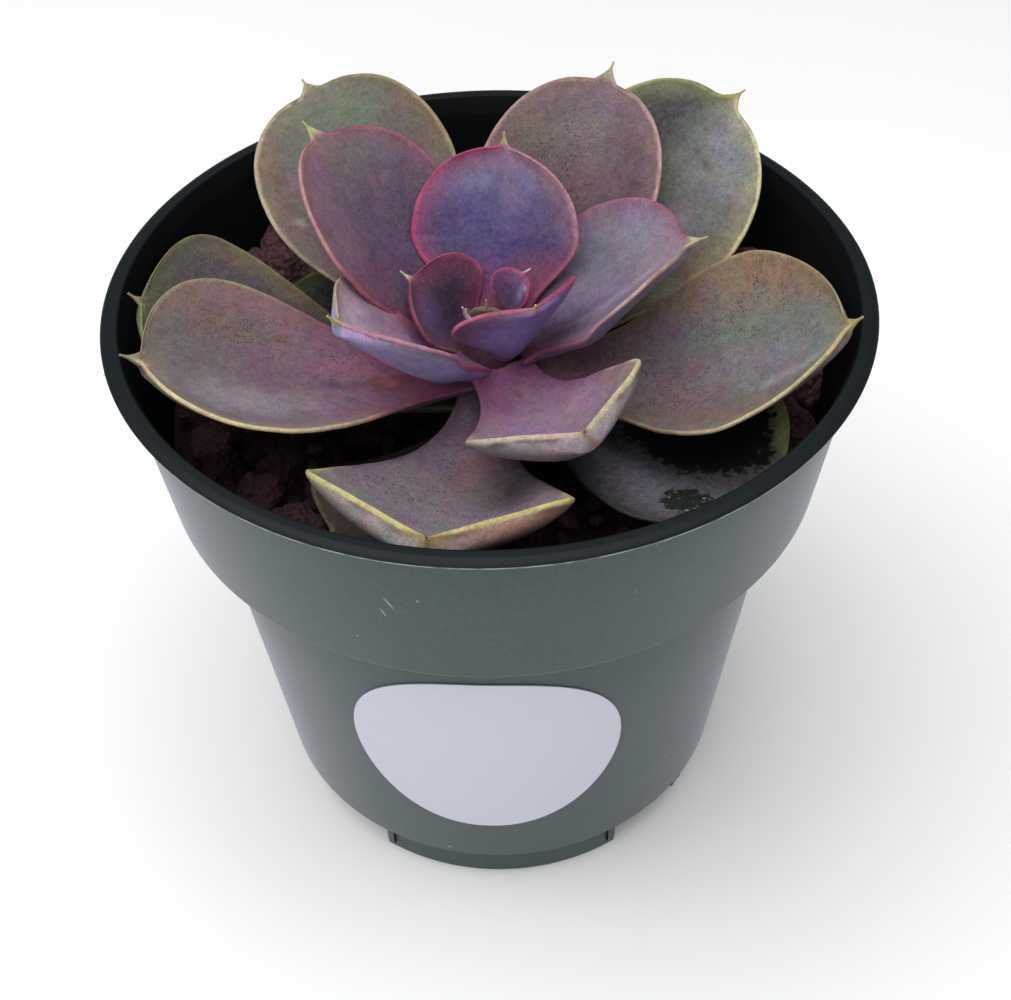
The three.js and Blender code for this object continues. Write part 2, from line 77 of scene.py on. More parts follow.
# The leaves of the solids, outermost first: azimuth, height of the foot, slope at the foot, slope added
# along the leaf, slope added near its end, length, width, place of the widest part, half angle of the
# cupped cross-section, twist, sideways sweep, and what differs from an ordinary leaf
LEAVES = [
    (-35, 77.5, 1, 3, 14, 42.5, 35, 0.7, 26, 0, 4, {"point": 2}),
    (-119.5, 75, 3, 3, 6, 34.5, 20.5, 0.85, 16, 0, -36,
     {"point": 2.5, "thickness": 3.2, "foot_width": 6, "blunt": 2.4}),
    (150, 75.5, 8, 5, 0, 33, 22, 0.66, 18, 0, 0, {"point": 3, "thickness": 3.6, "foot_width": 8}),
    (187, 76.5, 13, 25, 5, 49.2, 34.5, 0.8, 17, -8, -3, {"point": 2.2}),
    (127, 79, 31, 3, -22, 50.5, 30.5, 0.65, 18, -18, -16, {}),
    (40, 78, 26, 19, -25, 51.5, 31, 0.62, 8, 25, -3, {}),
    (-99.6, 79.5, -11, 54.5, 10, 48.3, 37.5, 0.88, 53, -1.2, 1,
     {**FLESHY_END, "fold": 0.75, "blunt": 2.7, "point": 1, "foot_width": 8}),
    (-17.7, 80, 4, 36, 4, 50, 34.5, 0.69, 36, 13, -8, {"point": 3, "blunt": 1.6}),
    (-158, 81, 10, 21, -4, 48, 35.5, 0.71, 29, 0, -11, {"point": 3}),
    (60, 81, 35, 14, -12, 42.5, 28.5, 0.59, 18, 6, 2, {}),
    (142, 82, 40, 15, -20, 37, 32, 0.59, 21, 13, 0, {}),
    (-69, 82.5, -6.2, 57, 0, 33.3, 28.8, 0.82, 55, 11, -3,
     {**FLESHY_END, "fold": 0.9, "blunt": 2.5, "point": 1.2, "foot_radius": 3.2}),
    (5.3, 84, 31, 12, -18, 28.7, 31, 0.53, 38, -3, -14, {"point": 3.2, "blunt": 2}),
    (83, 84, 47, 13, 18, 26.5, 26, 0.52, 25, -7, -12, {"point": 2.4}),
    (-145, 84, 29, 18, 0, 25, 25, 0.66, 46, 4, -10, {"fold": 0.4, "point": 2.6}),
    (161, 82, 61, -12, -8, 14.5, 19, 0.62, 47, -10, 6, {**INNER_LEAF, "point": 2.2}),
    (-56, 86, 56, 0, 0, 14.5, 21.5, 0.62, 38, 3, -15, {**INNER_LEAF, "point": 1.4, "fold": 0.4}),
    (39, 87.5, 67, -9, -40, 8.1, 8.4, 0.64, 34, 0, 0, HEART_LEAF),
    (-100, 87.5, 78, 6, 0, 5.5, 6, 0.5, 30, 0, 0, {**HEART_LEAF, "foot_radius": 1.3, "foot_width": 3.2}),
    (-160, 88, 66, 0, 0, 3.5, 5, 0.5, 30, 0, 0, {**HEART_LEAF, "foot_width": 3.2, "thickness": 1.6}),
]

# How an ordinary leaf is coloured where its row says nothing else. A patch has its colour, its place along
# the leaf (0 to 1) and across it (-1 to 1, left is 1), its reach both ways in the same measures, and its
# strength. Dots are the same without colour, and the wet spot and the painted shadow, a near-black spot,
# have a place and a reach alone
ORDINARY_LOOK = {"blush": 0.35, "band": 0.5, "turn": (0.2, 0.75), "bloom": 0.2, "speckles": 0.6,
                 "rust": 0.25, "wet": None, "stain": None, "dots": (), "patches": (), "below": ()}
LOOK_FIELDS = ("face", "left", "right", "point", "under")
# How each leaf of the list above is coloured: upper face at the foot, in the middle and at the end, margin
# on the left at the foot and at the end, as seen from the foot, margin on the right likewise, point,
# underside, and what differs from an ordinary leaf
LEAF_LOOKS = [
    # leaf_01 lies partly in the shade of the leaves above it: its dark face colours are painted shade, and
    # the pale patch #B0AC88 near its end is painted light on its lit rim
    (("#2A2228", "#3C373D", "#4E4C4A"), ("#2C2C24", "#A0A468"), ("#2A272A", "#3C3C34"), "#8C8658", "#50524A",
     {"bloom": 0.35, "speckles": 0.6, "rust": 0, "wet": (0.79, -0.55, 0.1, 0.26),
      # The near-black spot of leaf_01 is a painted shadow, cast by the leaves above it
      "stain": (0.66, 0.4, 0.28, 0.56),
      "patches": (("#B0AC88", 0.95, 0.9, 0.1, 0.24, 0.95), ("#6A666E", 0.66, -0.55, 0.26, 0.3, 0.9))}),
    # leaf_02 lies in deep shade under the leaves in front: the near-black colours of its face, margins and
    # underside are painted shade
    (("#0E0B0C", "#181412", "#4A3C34"), ("#100E0C", "#4A4230"), ("#1C1814", "#8E7E60"), "#7A6A4C", "#2C2A24",
     {"turn": (0.6, 0.95), "bloom": 0.1}),
    # leaf_03 lies in deep shade: the near-black colours of its face are painted shade
    (("#161612", "#1C1D17", "#23241C"), ("#484C28", "#5C6034"), ("#5A602E", "#787D3C"), "#8E8850", "#3A3E2C",
     {}),
    (("#38302A", "#51433D", "#54504A"), ("#5A5A3C", "#868C4C"), ("#705A44", "#84805A"), "#A58C6E", "#5E5A4C",
     {"speckles": 0.7,
      "dots": ((0.6, 0.0, 0.3, 1.0, 0.6),),
      "patches": (("#524E34", 0.96, -0.45, 0.05, 0.35, 0.9), ("#5A5660", 0.8, -0.6, 0.14, 0.3, 0.7),
                  ("#7A6450", 0.6, -0.95, 0.3, 0.14, 0.7))}),
    (("#5C4650", "#716366", "#656A58"), ("#948868", "#C0B094"), ("#9C8472", "#A0946E"), "#A89E70", "#6A6A5C",
     {"blush": 0.25, "speckles": 0.6,
      "patches": (("#66725A", 0.9, -0.25, 0.13, 0.5, 0.7), ("#624A38", 0.76, 0.85, 0.25, 0.26, 0.85),
                  ("#64493A", 0.7, -0.9, 0.2, 0.3, 0.85), ("#7D787D", 0.56, -0.5, 0.12, 0.35, 0.5),
                  ("#80606E", 0.5, 0.3, 0.16, 0.6, 0.6), ("#B0A89A", 0.61, 0.76, 0.014, 0.05, 0.7))}),
    (("#34382A", "#58584A", "#63645D"), ("#6C7048", "#A5A564"), ("#C0B094", "#DCD2A4"), "#A89868", "#5E6252",
     {"bloom": 0.25, "speckles": 0.9,
      "patches": (("#848487", 0.86, -0.5, 0.12, 0.45, 0.9), ("#7E7C80", 0.62, -0.35, 0.09, 0.3, 0.7),
                  ("#24241C", 0.83, 0.5, 0.2, 0.36, 0.95), ("#5E6C4A", 0.72, -0.05, 0.07, 0.2, 0.6),
                  ("#6C503C", 0.58, -0.9, 0.14, 0.22, 0.85), ("#3A2A20", 0.81, -0.28, 0.012, 0.06, 0.9),
                  ("#4A3428", 0.83, -0.12, 0.014, 0.05, 0.8), ("#4A3428", 0.86, 0.25, 0.012, 0.05, 0.7))}),
    (("#70566A", "#84707C", "#948890"), ("#5E4C58", "#C8BC7C"), ("#6A5464", "#D0C482"), "#8A5A28", "#A6A0AE",
     {"blush": 0.2, "band": 0.5, "turn": (0.6, 0.86), "speckles": 1.3, "rust": 0.8,
      "dots": ((0.6, -0.2, 0.16, 0.5, 0.8), (0.75, 0.5, 0.1, 0.3, 0.7)),
      "patches": (("#423E3E", 0.55, 0.62, 0.12, 0.25, 0.9), ("#94646A", 0.34, 0.1, 0.08, 0.35, 0.6),
                  ("#6E6858", 0.5, 0.25, 0.15, 0.25, 0.5), ("#88807E", 0.75, -0.55, 0.14, 0.35, 0.6)),
      "below": (("#A06C4A", 0.8, 0.8, 0.36, 0.42, 0.85), ("#94785A", 0.84, -0.84, 0.16, 0.24, 0.75),
                ("#A89088", 0.7, 0.25, 0.2, 0.2, 0.5), ("#3A3238", 0.4, 0.0, 0.14, 1.2, 0.8))}),
    (("#8A6076", "#72666E", "#787A72"), ("#8A6A50", "#AE9C72"), ("#A07470", "#CCBE90"), "#B9B46E", "#7A6A64",
     {"blush": 0.3, "band": 0.4, "bloom": 0.25, "speckles": 0.7, "rust": 0.7,
      "dots": ((0.5, -0.3, 0.14, 0.4, 0.8), (0.72, 0.6, 0.16, 0.3, 0.8), (0.3, 0.2, 0.12, 0.5, 0.6)),
      "patches": (("#6E7860", 0.7, 0.4, 0.18, 0.3, 0.75), ("#8E6C4E", 0.7, 0.84, 0.3, 0.26, 0.9),
                  ("#765E58", 0.56, -0.55, 0.2, 0.4, 0.85), ("#807E88", 0.78, -0.1, 0.16, 0.18, 0.6),
                  ("#7C6050", 0.8, -0.82, 0.22, 0.2, 0.8), ("#B0A8B4", 0.87, -0.42, 0.12, 0.08, 0.6))}),
    (("#B86088", "#7C5E6C", "#6E6462"), ("#8A4C66", "#E0CCA0"), ("#966072", "#A8967C"), "#9A946C", "#6C5A54",
     {"blush": 0.3, "band": 0.5, "bloom": 0.2, "speckles": 0.5, "rust": 1,
      "dots": ((0.36, 0.0, 0.1, 0.5, 1.0), (0.66, -0.5, 0.16, 0.25, 0.9), (0.55, 0.4, 0.1, 0.3, 0.6)),
      "patches": (("#74604A", 0.7, -0.55, 0.13, 0.16, 0.75), ("#968C96", 0.74, 0.4, 0.24, 0.28, 0.85),
                  ("#8A6264", 0.66, -0.9, 0.26, 0.14, 0.6), ("#84606E", 0.5, -0.85, 0.14, 0.4, 0.6),
                  # The pink patch #B8809A at the neck is painted light, brightening it where the leaves
                  # above shade it
                  ("#78765C", 0.97, 0.0, 0.06, 0.5, 0.6), ("#B8809A", 0.34, -0.1, 0.1, 0.8, 0.75),
                  ("#A03C38", 0.26, 0.14, 0.065, 0.22, 0.9), ("#C88C94", 0.262, 0.14, 0.035, 0.12, 0.7),
                  ("#8C6666", 0.82, -0.85, 0.18, 0.2, 0.5), ("#5A4450", 0.42, 0.1, 0.12, 0.06, 0.6),
                  ("#6E5236", 0.555, -0.5, 0.016, 0.05, 0.8))}),
    (("#54404A", "#62464C", "#6C565E"), ("#A46A6E", "#B89488"), ("#B05C70", "#C09A96"), "#A8A27C", "#6A6068",
     {"blush": 0.3, "speckles": 0.6,
      "dots": ((0.7, 0.2, 0.16, 0.5, 0.8),),
      "patches": (("#73604F", 0.74, 0.6, 0.18, 0.3, 0.6), ("#5A404C", 0.7, -0.8, 0.2, 0.25, 0.85),
                  ("#807278", 0.84, 0.0, 0.1, 0.35, 0.5), ("#5C4438", 0.8, -0.55, 0.02, 0.06, 0.6))}),
    (("#423252", "#644A68", "#7A6A72"), ("#A8466C", "#C48E8C"), ("#A84870", "#B06E82"), "#BEBE86", "#6E5C70",
     {"blush": 0.5, "speckles": 0.5,
      "dots": ((0.5, -0.3, 0.16, 0.3, 0.5),),
      "patches": (("#8E6A7C", 0.72, 0.65, 0.26, 0.3, 0.75), ("#6C6E62", 0.93, -0.2, 0.1, 0.45, 0.6),
                  ("#6E4A62", 0.35, 0.6, 0.15, 0.4, 0.6))}),
    (("#9A5480", "#9A7A94", "#94788A"), ("#8A5A7E", "#D4CA9C"), ("#90607C", "#CEBCA6"), "#966E3C", "#A4949E",
     {"band": 0.45, "turn": (0.56, 0.86), "speckles": 0.6, "rust": 0.7,
      "patches": (("#90708A", 0.28, 0.2, 0.14, 0.6, 0.7), ("#96735F", 0.78, 0.88, 0.2, 0.16, 0.75),
                  ("#5E3A48", 0.2, 0.05, 0.03, 0.05, 0.7)),
      "below": (("#9A6048", 0.98, 0.25, 0.05, 0.15, 0.8), ("#B07C74", 0.8, -0.6, 0.12, 0.3, 0.5),
                ("#6A5A62", 0.94, 0.0, 0.015, 0.05, 0.8), ("#7E5866", 0.5, -0.65, 0.22, 0.5, 0.85))}),
    (("#5A3A52", "#7E7088", "#8E8092"), ("#9C5078", "#AC6A86"), ("#A04E74", "#BC9C92"), "#BEBC8E", "#7C7490",
     {"blush": 0.45, "bloom": 0.25, "speckles": 0.35,
      "patches": (("#A0929A", 0.85, -0.12, 0.1, 0.3, 0.7), ("#706E86", 0.55, 0.4, 0.13, 0.3, 0.6),
                  ("#A898B0", 0.62, -0.3, 0.32, 0.07, 0.7))}),
    (("#8C345C", "#4A3874", "#8A80A4"), ("#A04470", "#B84A78"), ("#A85674", "#BC8C9A"), "#C8BC98", "#6C6290",
     {"blush": 0.55, "band": 0.7, "bloom": 0.2, "speckles": 0.3,
      "patches": (("#46345A", 0.55, 0.75, 0.22, 0.25, 0.75), ("#6E5A78", 0.72, -0.75, 0.2, 0.25, 0.6))}),
    # leaf_15's pale blue underside is painted light: brighter than its skin, so that it stays pale in the
    # shade beneath the leaf
    (("#6A3858", "#A8829E", "#D8C0D4"), ("#B4547A", "#BC8498"), ("#A84A70", "#C0A88C"), "#C5C488", "#BCB4EC",
     {"blush": 0.5, "speckles": 0.3,
      "below": (("#8878C4", 0.1, 0.0, 0.25, 1.2, 0.7), ("#C0B8D0", 0.8, 0.8, 0.2, 0.4, 0.5))}),
    (("#3A2438", "#44294A", "#4C3254"), ("#8A5A68", "#8A4458"), ("#9A4468", "#A85270"), "#C8BEA4", "#5C4874",
     {"blush": 0.5, "bloom": 0.1, "speckles": 0.2,
      "patches": (("#6A5280", 0.68, 0.45, 0.22, 0.35, 0.75), ("#281A2A", 0.6, -0.35, 0.22, 0.35, 0.7))}),
    (("#40284A", "#4A2C4E", "#54345C"), ("#80385C", "#A44A6C"), ("#7A2844", "#AC5E78"), "#D7CD9A", "#8A78BC",
     {"blush": 0.6, "bloom": 0.15, "speckles": 0.2,
      "below": (("#43264A", 0.72, -0.9, 0.3, 0.3, 0.85), ("#8070A4", 0.62, 0.6, 0.25, 0.3, 0.6),
                ("#4E2A40", 0.05, 0.0, 0.2, 1.2, 0.8))}),
    (("#3C2438", "#4A3058", "#5A4070"), ("#9C4C6A", "#A05070"), ("#A8386A", "#A04468"), "#D0CCBA", "#6A5A88",
     {"blush": 0.25, "band": 0.4, "speckles": 0,
      "patches": (("#9088BA", 0.74, -0.6, 0.25, 0.2, 0.8), ("#F0EEF4", 0.82, -0.85, 0.05, 0.12, 0.8))}),
    (("#3A2A30", "#4A383C", "#5E4A46"), ("#80605C", "#8A7462"), ("#80605C", "#8A7462"), "#C4B494", "#6C4E4C",
     {"bloom": 0.1, "speckles": 0}),
    (("#5E3E4A", "#6E4E5A", "#8A6872"), ("#9C7C84", "#B09498"), ("#9C7C84", "#B09498"), "#E0CCCC", "#8A6070",
     {"bloom": 0.1, "speckles": 0}),
]


class Draw:
    """Repeatable random numbers, the same series as the solids' stones are drawn from."""

    def __init__(self, seed):
        self.state = seed

    def between(self, low, high):
        self.state = self.state * 16807 % 2147483647
        return low + (high - low) * self.state / 2147483647


def linear(hex_colour):
    """An sRGB hex value as linear red, green and blue, with full alpha."""
    channels = [int(hex_colour[i:i + 2], 16) / 255 for i in (1, 3, 5)]
    return (*[c / 12.92 if c <= 0.04045 else ((c + 0.055) / 1.055) ** 2.4 for c in channels], 1.0)


def add(tree, kind, sockets=None, **settings):
    """Adds a node with its settings. A socket is given a value, or is linked to an output, or to the first
    output in use of another node."""
    node = tree.nodes.new(kind)
    for name, value in settings.items():
        setattr(node, name, value)
    for socket, value in (sockets or {}).items():
        if isinstance(value, bpy.types.Node):
            value = next(output for output in value.outputs if output.enabled)
        if isinstance(value, bpy.types.NodeSocket):
            tree.links.new(value, node.inputs[socket])
        else:
            node.inputs[socket].default_value = value
    return node


def new_material(name):
    """An empty node material with its output."""
    material = bpy.data.materials.new(name)
    material.use_nodes = True
    tree = material.node_tree
    tree.nodes.clear()
    return material, tree


def place(piece, materials, slot, *nodes):
    """Gives a finished piece its materials, its body and the solids that it stands for; its slot is not
    used.
    """
    piece.data.materials.clear()
    for material in materials:
        piece.data.materials.append(material)
    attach(piece, "root")
    if nodes:
        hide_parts(*nodes)
    return piece


def new_piece(name, mesh):
    """A new object at the origin that shows a mesh."""
    piece = bpy.data.objects.new(name, mesh)
    bpy.context.scene.collection.objects.link(piece)
    return piece


def round_corners(outline, steps=5):
    """A profile of (radius, height) points whose corners, given as (radius, height, fillet), are arcs."""
    points = []
    for i, corner in enumerate(outline):
        here = Vector(corner[:2])
        fillet = corner[2] if len(corner) > 2 else 0
        if not fillet:
            points.append(here)
            continue
        before = (Vector(outline[i - 1][:2]) - here).normalized()
        after = (Vector(outline[i + 1][:2]) - here).normalized()
        half = before.angle(after) / 2
        reach = fillet / math.tan(half)
        centre = here + (before + after).normalized() * fillet / math.sin(half)
        start = here + before * reach - centre
        end = here + after * reach - centre
        turn = start.angle_signed(end)
        for k in range(steps + 1):
            spoke = start.copy()
            spoke.rotate(Matrix.Rotation(-turn * k / steps, 2))
            points.append(centre + spoke)
    return points


def turn_on_lathe(name, profile, segments):
    """A closed body of revolution, drawn up ring by ring from a disc along a profile in metres."""
    bpy.ops.object.select_all(action="DESELECT")
    bpy.ops.mesh.primitive_circle_add(vertices=segments, radius=profile[0][0], fill_type="NGON")
    piece = bpy.context.object
    piece.name = name
    bpy.ops.object.mode_set(mode="EDIT")
    bpy.ops.transform.translate(value=(0, 0, profile[0][1]))
    for (radius, z), (next_radius, next_z) in zip(profile, profile[1:]):
        bpy.ops.mesh.extrude_region_move(TRANSFORM_OT_translate={"value": (0, 0, next_z - z)})
        share = next_radius / radius
        bpy.ops.transform.resize(value=(share, share, 1), center_override=(0, 0, next_z))
    bpy.ops.mesh.select_all(action="SELECT")
    bpy.ops.mesh.remove_doubles(threshold=1e-7)
    bpy.ops.mesh.normals_make_consistent(inside=False)
    bpy.ops.object.mode_set(mode="OBJECT")
    return piece


def boolean(piece, tool, operation):
    """Joins a tool to a piece or cuts it out of it, and removes the tool."""
    bpy.ops.object.select_all(action="DESELECT")
    piece.select_set(True)
    bpy.context.view_layer.objects.active = piece
    modifier = piece.modifiers.new(operation.lower(), "BOOLEAN")
    modifier.operation = operation
    modifier.solver = "MANIFOLD"
    modifier.object = tool
    bpy.ops.object.modifier_apply(modifier=modifier.name)
    bpy.data.objects.remove(tool)


def length_setting(name, description, default):
    """A length that the user can change."""
    return FloatProperty(name=name, description=description, default=default, unit="LENGTH")


def angle_setting(name, description, degrees):
    """An angle that the user can change."""
    return FloatProperty(name=name, description=description, default=math.radians(degrees), subtype="ANGLE")


def colour_setting(name, description, hex_colour):
    """A colour that the user can change, given as its sRGB hex value."""
    return FloatVectorProperty(name=name, description=description, default=linear(hex_colour), size=4,
                               subtype="COLOR")


class PotSettings(PropertyGroup):
    lip_radius: length_setting("Lip radius", "Radius of the pot over its lip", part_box("pot")[1].x)
    height: length_setting("Height", "Height of the pot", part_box("pot")[1].z)
    lip_height: length_setting("Lip height", "Height of the lip", 1 * MM)
    band_top_radius: length_setting("Band radius above", "Outer radius under the lip", 52.1 * MM)
    band_foot_radius: length_setting("Band radius below", "Outer radius at the band's foot", 49 * MM)
    band_foot_z: length_setting("Band foot", "Height of the band's foot", 68.3 * MM)
    body_top_radius: length_setting("Body radius above", "Outer radius of the body at the band", 44.3 * MM)
    body_foot_radius: length_setting("Body radius below", "Outer radius of the body at its foot", 37.75 * MM)
    body_foot_z: length_setting("Body foot", "Height of the body's foot", 8 * MM)
    foot_radius: length_setting("Foot radius", "Outer radius of the foot ring", 35.6 * MM)
    wall: length_setting("Wall", "Thickness of the wall", 1.4 * MM)
    segments: IntProperty(name="Segments", description="Sides of the turned shapes", default=192)
    plastic: colour_setting("Plastic", "Colour of the moulded plastic", "#1F3735")
    # The top of the lip is painted darker than the rest of the outside, as painted shade
    lip_top_shade: colour_setting("Top of the lip", "Colour of the plastic on top of the lip", "#12191B")
    # The damp colour inside the pot is painted shade: the plastic is painted nearly black inside
    damp: colour_setting("Damp inside", "Colour of the plastic where it is damp", "#0B0E10")
    flash: colour_setting("Flash", "Colour of the flash line, the dust and the scratches", "#A3BDB0")
    haze: colour_setting("Haze", "Colour of the fine surface haze seen at a slant", "#D6D6E6")


class LabelSettings(PropertyGroup):
    azimuth: angle_setting("Azimuth", "Where the middle of the label is", -93)
    half_angle: angle_setting("Half angle", "Half of the angle that the label takes", 28.5)
    widest_z: length_setting("Widest height", "Height at which the label is widest", 40 * MM)
    rise: length_setting("Rise", "Height of the label above its widest place", 20 * MM)
    drop: length_setting("Drop", "Height of the label below its widest place", 21 * MM)
    thickness: length_setting("Thickness", "Thickness of the film and its glue", 0.16 * MM)
    film: colour_setting("Film", "Colour of the blank film", "#C0C3CE")
    fibre: colour_setting("Fibres", "Colour of the fibres that show through the film", "#C2C5D2")


class GravelSettings(PropertyGroup):
    stone: colour_setting("Stone", "Colour of the lava", "#2A171B")
    # The pale colour also serves as painted light on the stones towards the back of the pot
    pale: colour_setting("Pale stone", "Colour of its palest stones", "#8C5E64")
    stone_count: IntProperty(name="Stones", description="How many stones are laid by the rule", default=58)
    grit_count: IntProperty(name="Grit", description="How many grains lie between the stones", default=420)


class FillingSettings(PropertyGroup):
    peat: colour_setting("Peat", "Colour of the damp peat", "#1A120E")
    bark: colour_setting("Bark", "Colour of the bark crumbs in the peat", "#4A3428")


class StemSettings(PropertyGroup):
    # The dark skin colour is painted shade: the stem is painted as dark as it looks under the leaves
    skin: colour_setting("Skin", "Colour of the dry stem", "#2C1622")
    cork: colour_setting("Cork", "Colour of the corky places on it", "#4C2C3C")


class LeafSettings(PropertyGroup):
    margin: length_setting("Margin", "Half the thickness of a leaf at its margin", 0.32 * MM)
    swelling: length_setting("Swelling", "Height of the gentle swellings of a leaf", 0.22 * MM)
    shade: FloatProperty(name="Shade", description="How light the skin is, as a share of the listed colours",
                         default=0.74)
    drift: FloatProperty(name="Drift", description="How far the colours wander from place to place",
                         default=0.2)
    bloom: colour_setting("Bloom", "Colour of the powdery wax", "#A29EB0")
    sheen: colour_setting("Sheen", "Colour of the wax seen at a slant", "#C8C4E0")
    pores: colour_setting("Pores", "Colour of the dark pores", "#1E1519")
    # The blackened stain is a painted shadow: the colour of the near-black spot that stands in for a cast
    # shadow
    stain: colour_setting("Stain", "Colour of the blackened stain", "#0A0708")
    wet: colour_setting("Wet skin", "Colour of the skin where water stands", "#141F08")
    # The glints are painted highlights on the wet skin
    glints: colour_setting("Glints", "Colour of the glints on the wet skin", "#B8C69A")


class StageSettings(PropertyGroup):
    lens: FloatProperty(name="Lens", description="Focal length on a 36 mm wide sensor, in millimetres",
                        default=53.41)
    elevation: angle_setting("Elevation", "How steeply the camera looks down", 44.7)
    distance: length_setting("Distance", "From the camera to what it looks at", 241 * MM)
    roll: angle_setting("Roll", "How far the camera leans", -1.4)
    target: FloatVectorProperty(name="Target", description="What the camera looks at", size=3,
                                default=(1.6 * MM, 0, 52.5 * MM), subtype="TRANSLATION")
    floor: colour_setting("Floor", "Colour of the floor", "#F4F4F4")
    room: FloatProperty(name="Room light", description="Strength of the light from all sides", default=0.13)


# The softboxes round the plant: name, place and size in metres, and power in watts
SOFTBOXES = (
    ("overhead softbox", (-0.15, -0.1, 1.0), 1.2, 14.0),
    ("front softbox", (0.05, -1.1, 0.5), 0.8, 4.0),
    ("left softbox", (-1.0, -0.1, 0.6), 0.8, 1.6),
    ("right softbox", (1.0, 0.0, 0.6), 0.8, 1.0),
)
SOFTBOX_AIM = Vector((0, 0, 0.06))
FLOOR_SIZE = 6


class ECHEVERIA_OT_stage(Operator):
    """Sets the floor, the soft lights and the camera"""
    bl_idname = "echeveria.stage"
    bl_label = "Stage"

    def execute(self, context):
        settings = context.scene.echeveria_stage
        bpy.ops.object.select_all(action="DESELECT")
        bpy.ops.mesh.primitive_plane_add(size=FLOOR_SIZE)
        floor = context.object
        floor.name = "floor"
        material, tree = new_material("Matte white studio board")
        shader = add(tree, "ShaderNodeBsdfDiffuse", {"Color": tuple(settings.floor)})
        add(tree, "ShaderNodeOutputMaterial", {"Surface": shader})
        floor.data.materials.append(material)

        world = bpy.data.worlds.new("Soft room light")
        world.use_nodes = True
        world.node_tree.nodes.clear()
        light = add(world.node_tree, "ShaderNodeBackground", {"Color": linear("#F6F6FF"),
                                                              "Strength": settings.room})
        add(world.node_tree, "ShaderNodeOutputWorld", {"Surface": light})
        context.scene.world = world

        for name, place_at, size, power in SOFTBOXES:
            bpy.ops.object.light_add(type="AREA", location=place_at)
            lamp = context.object
            lamp.name = name
            lamp.data.size = size
            lamp.data.energy = power
            lamp.visible_camera = False
            ray = SOFTBOX_AIM - Vector(place_at)
            lamp.rotation_euler = ray.to_track_quat("-Z", "Y").to_euler()

        back = Vector((0, -math.cos(settings.elevation), math.sin(settings.elevation)))
        turned = Matrix.Rotation(settings.roll, 3, back)
        right = turned @ Vector((1, 0, 0))
        up = turned @ back.cross(Vector((1, 0, 0)))
        bpy.ops.object.camera_add()
        camera = context.object
        camera.data.sensor_fit = "HORIZONTAL"
        camera.data.sensor_width = 36
        camera.data.lens = settings.lens
        camera.data.clip_start = 0.01
        turn = Matrix((right, up, back)).transposed().to_4x4()
        camera.matrix_world = Matrix.Translation(Vector(settings.target) + back * settings.distance) @ turn
        context.scene.camera = camera
        context.scene.view_settings.view_transform = "Standard"
        context.scene.view_settings.look = "None"
        return {"FINISHED"}


# Fine scratches on the pot's outside: place, length and width in millimetres, and lean in radians
SCRATCHES = (
    ((-13.07, -49.12, 83.7), 1.4, 0.16, 0.5),
    ((-13.9, -48.7, 81.5), 1.0, 0.13, 0.4),
    ((-42.2, -33.6, 94.9), 1.6, 0.14, 0.9),
    ((-37.4, -38.0, 95.2), 1.1, 0.14, -0.7),
)


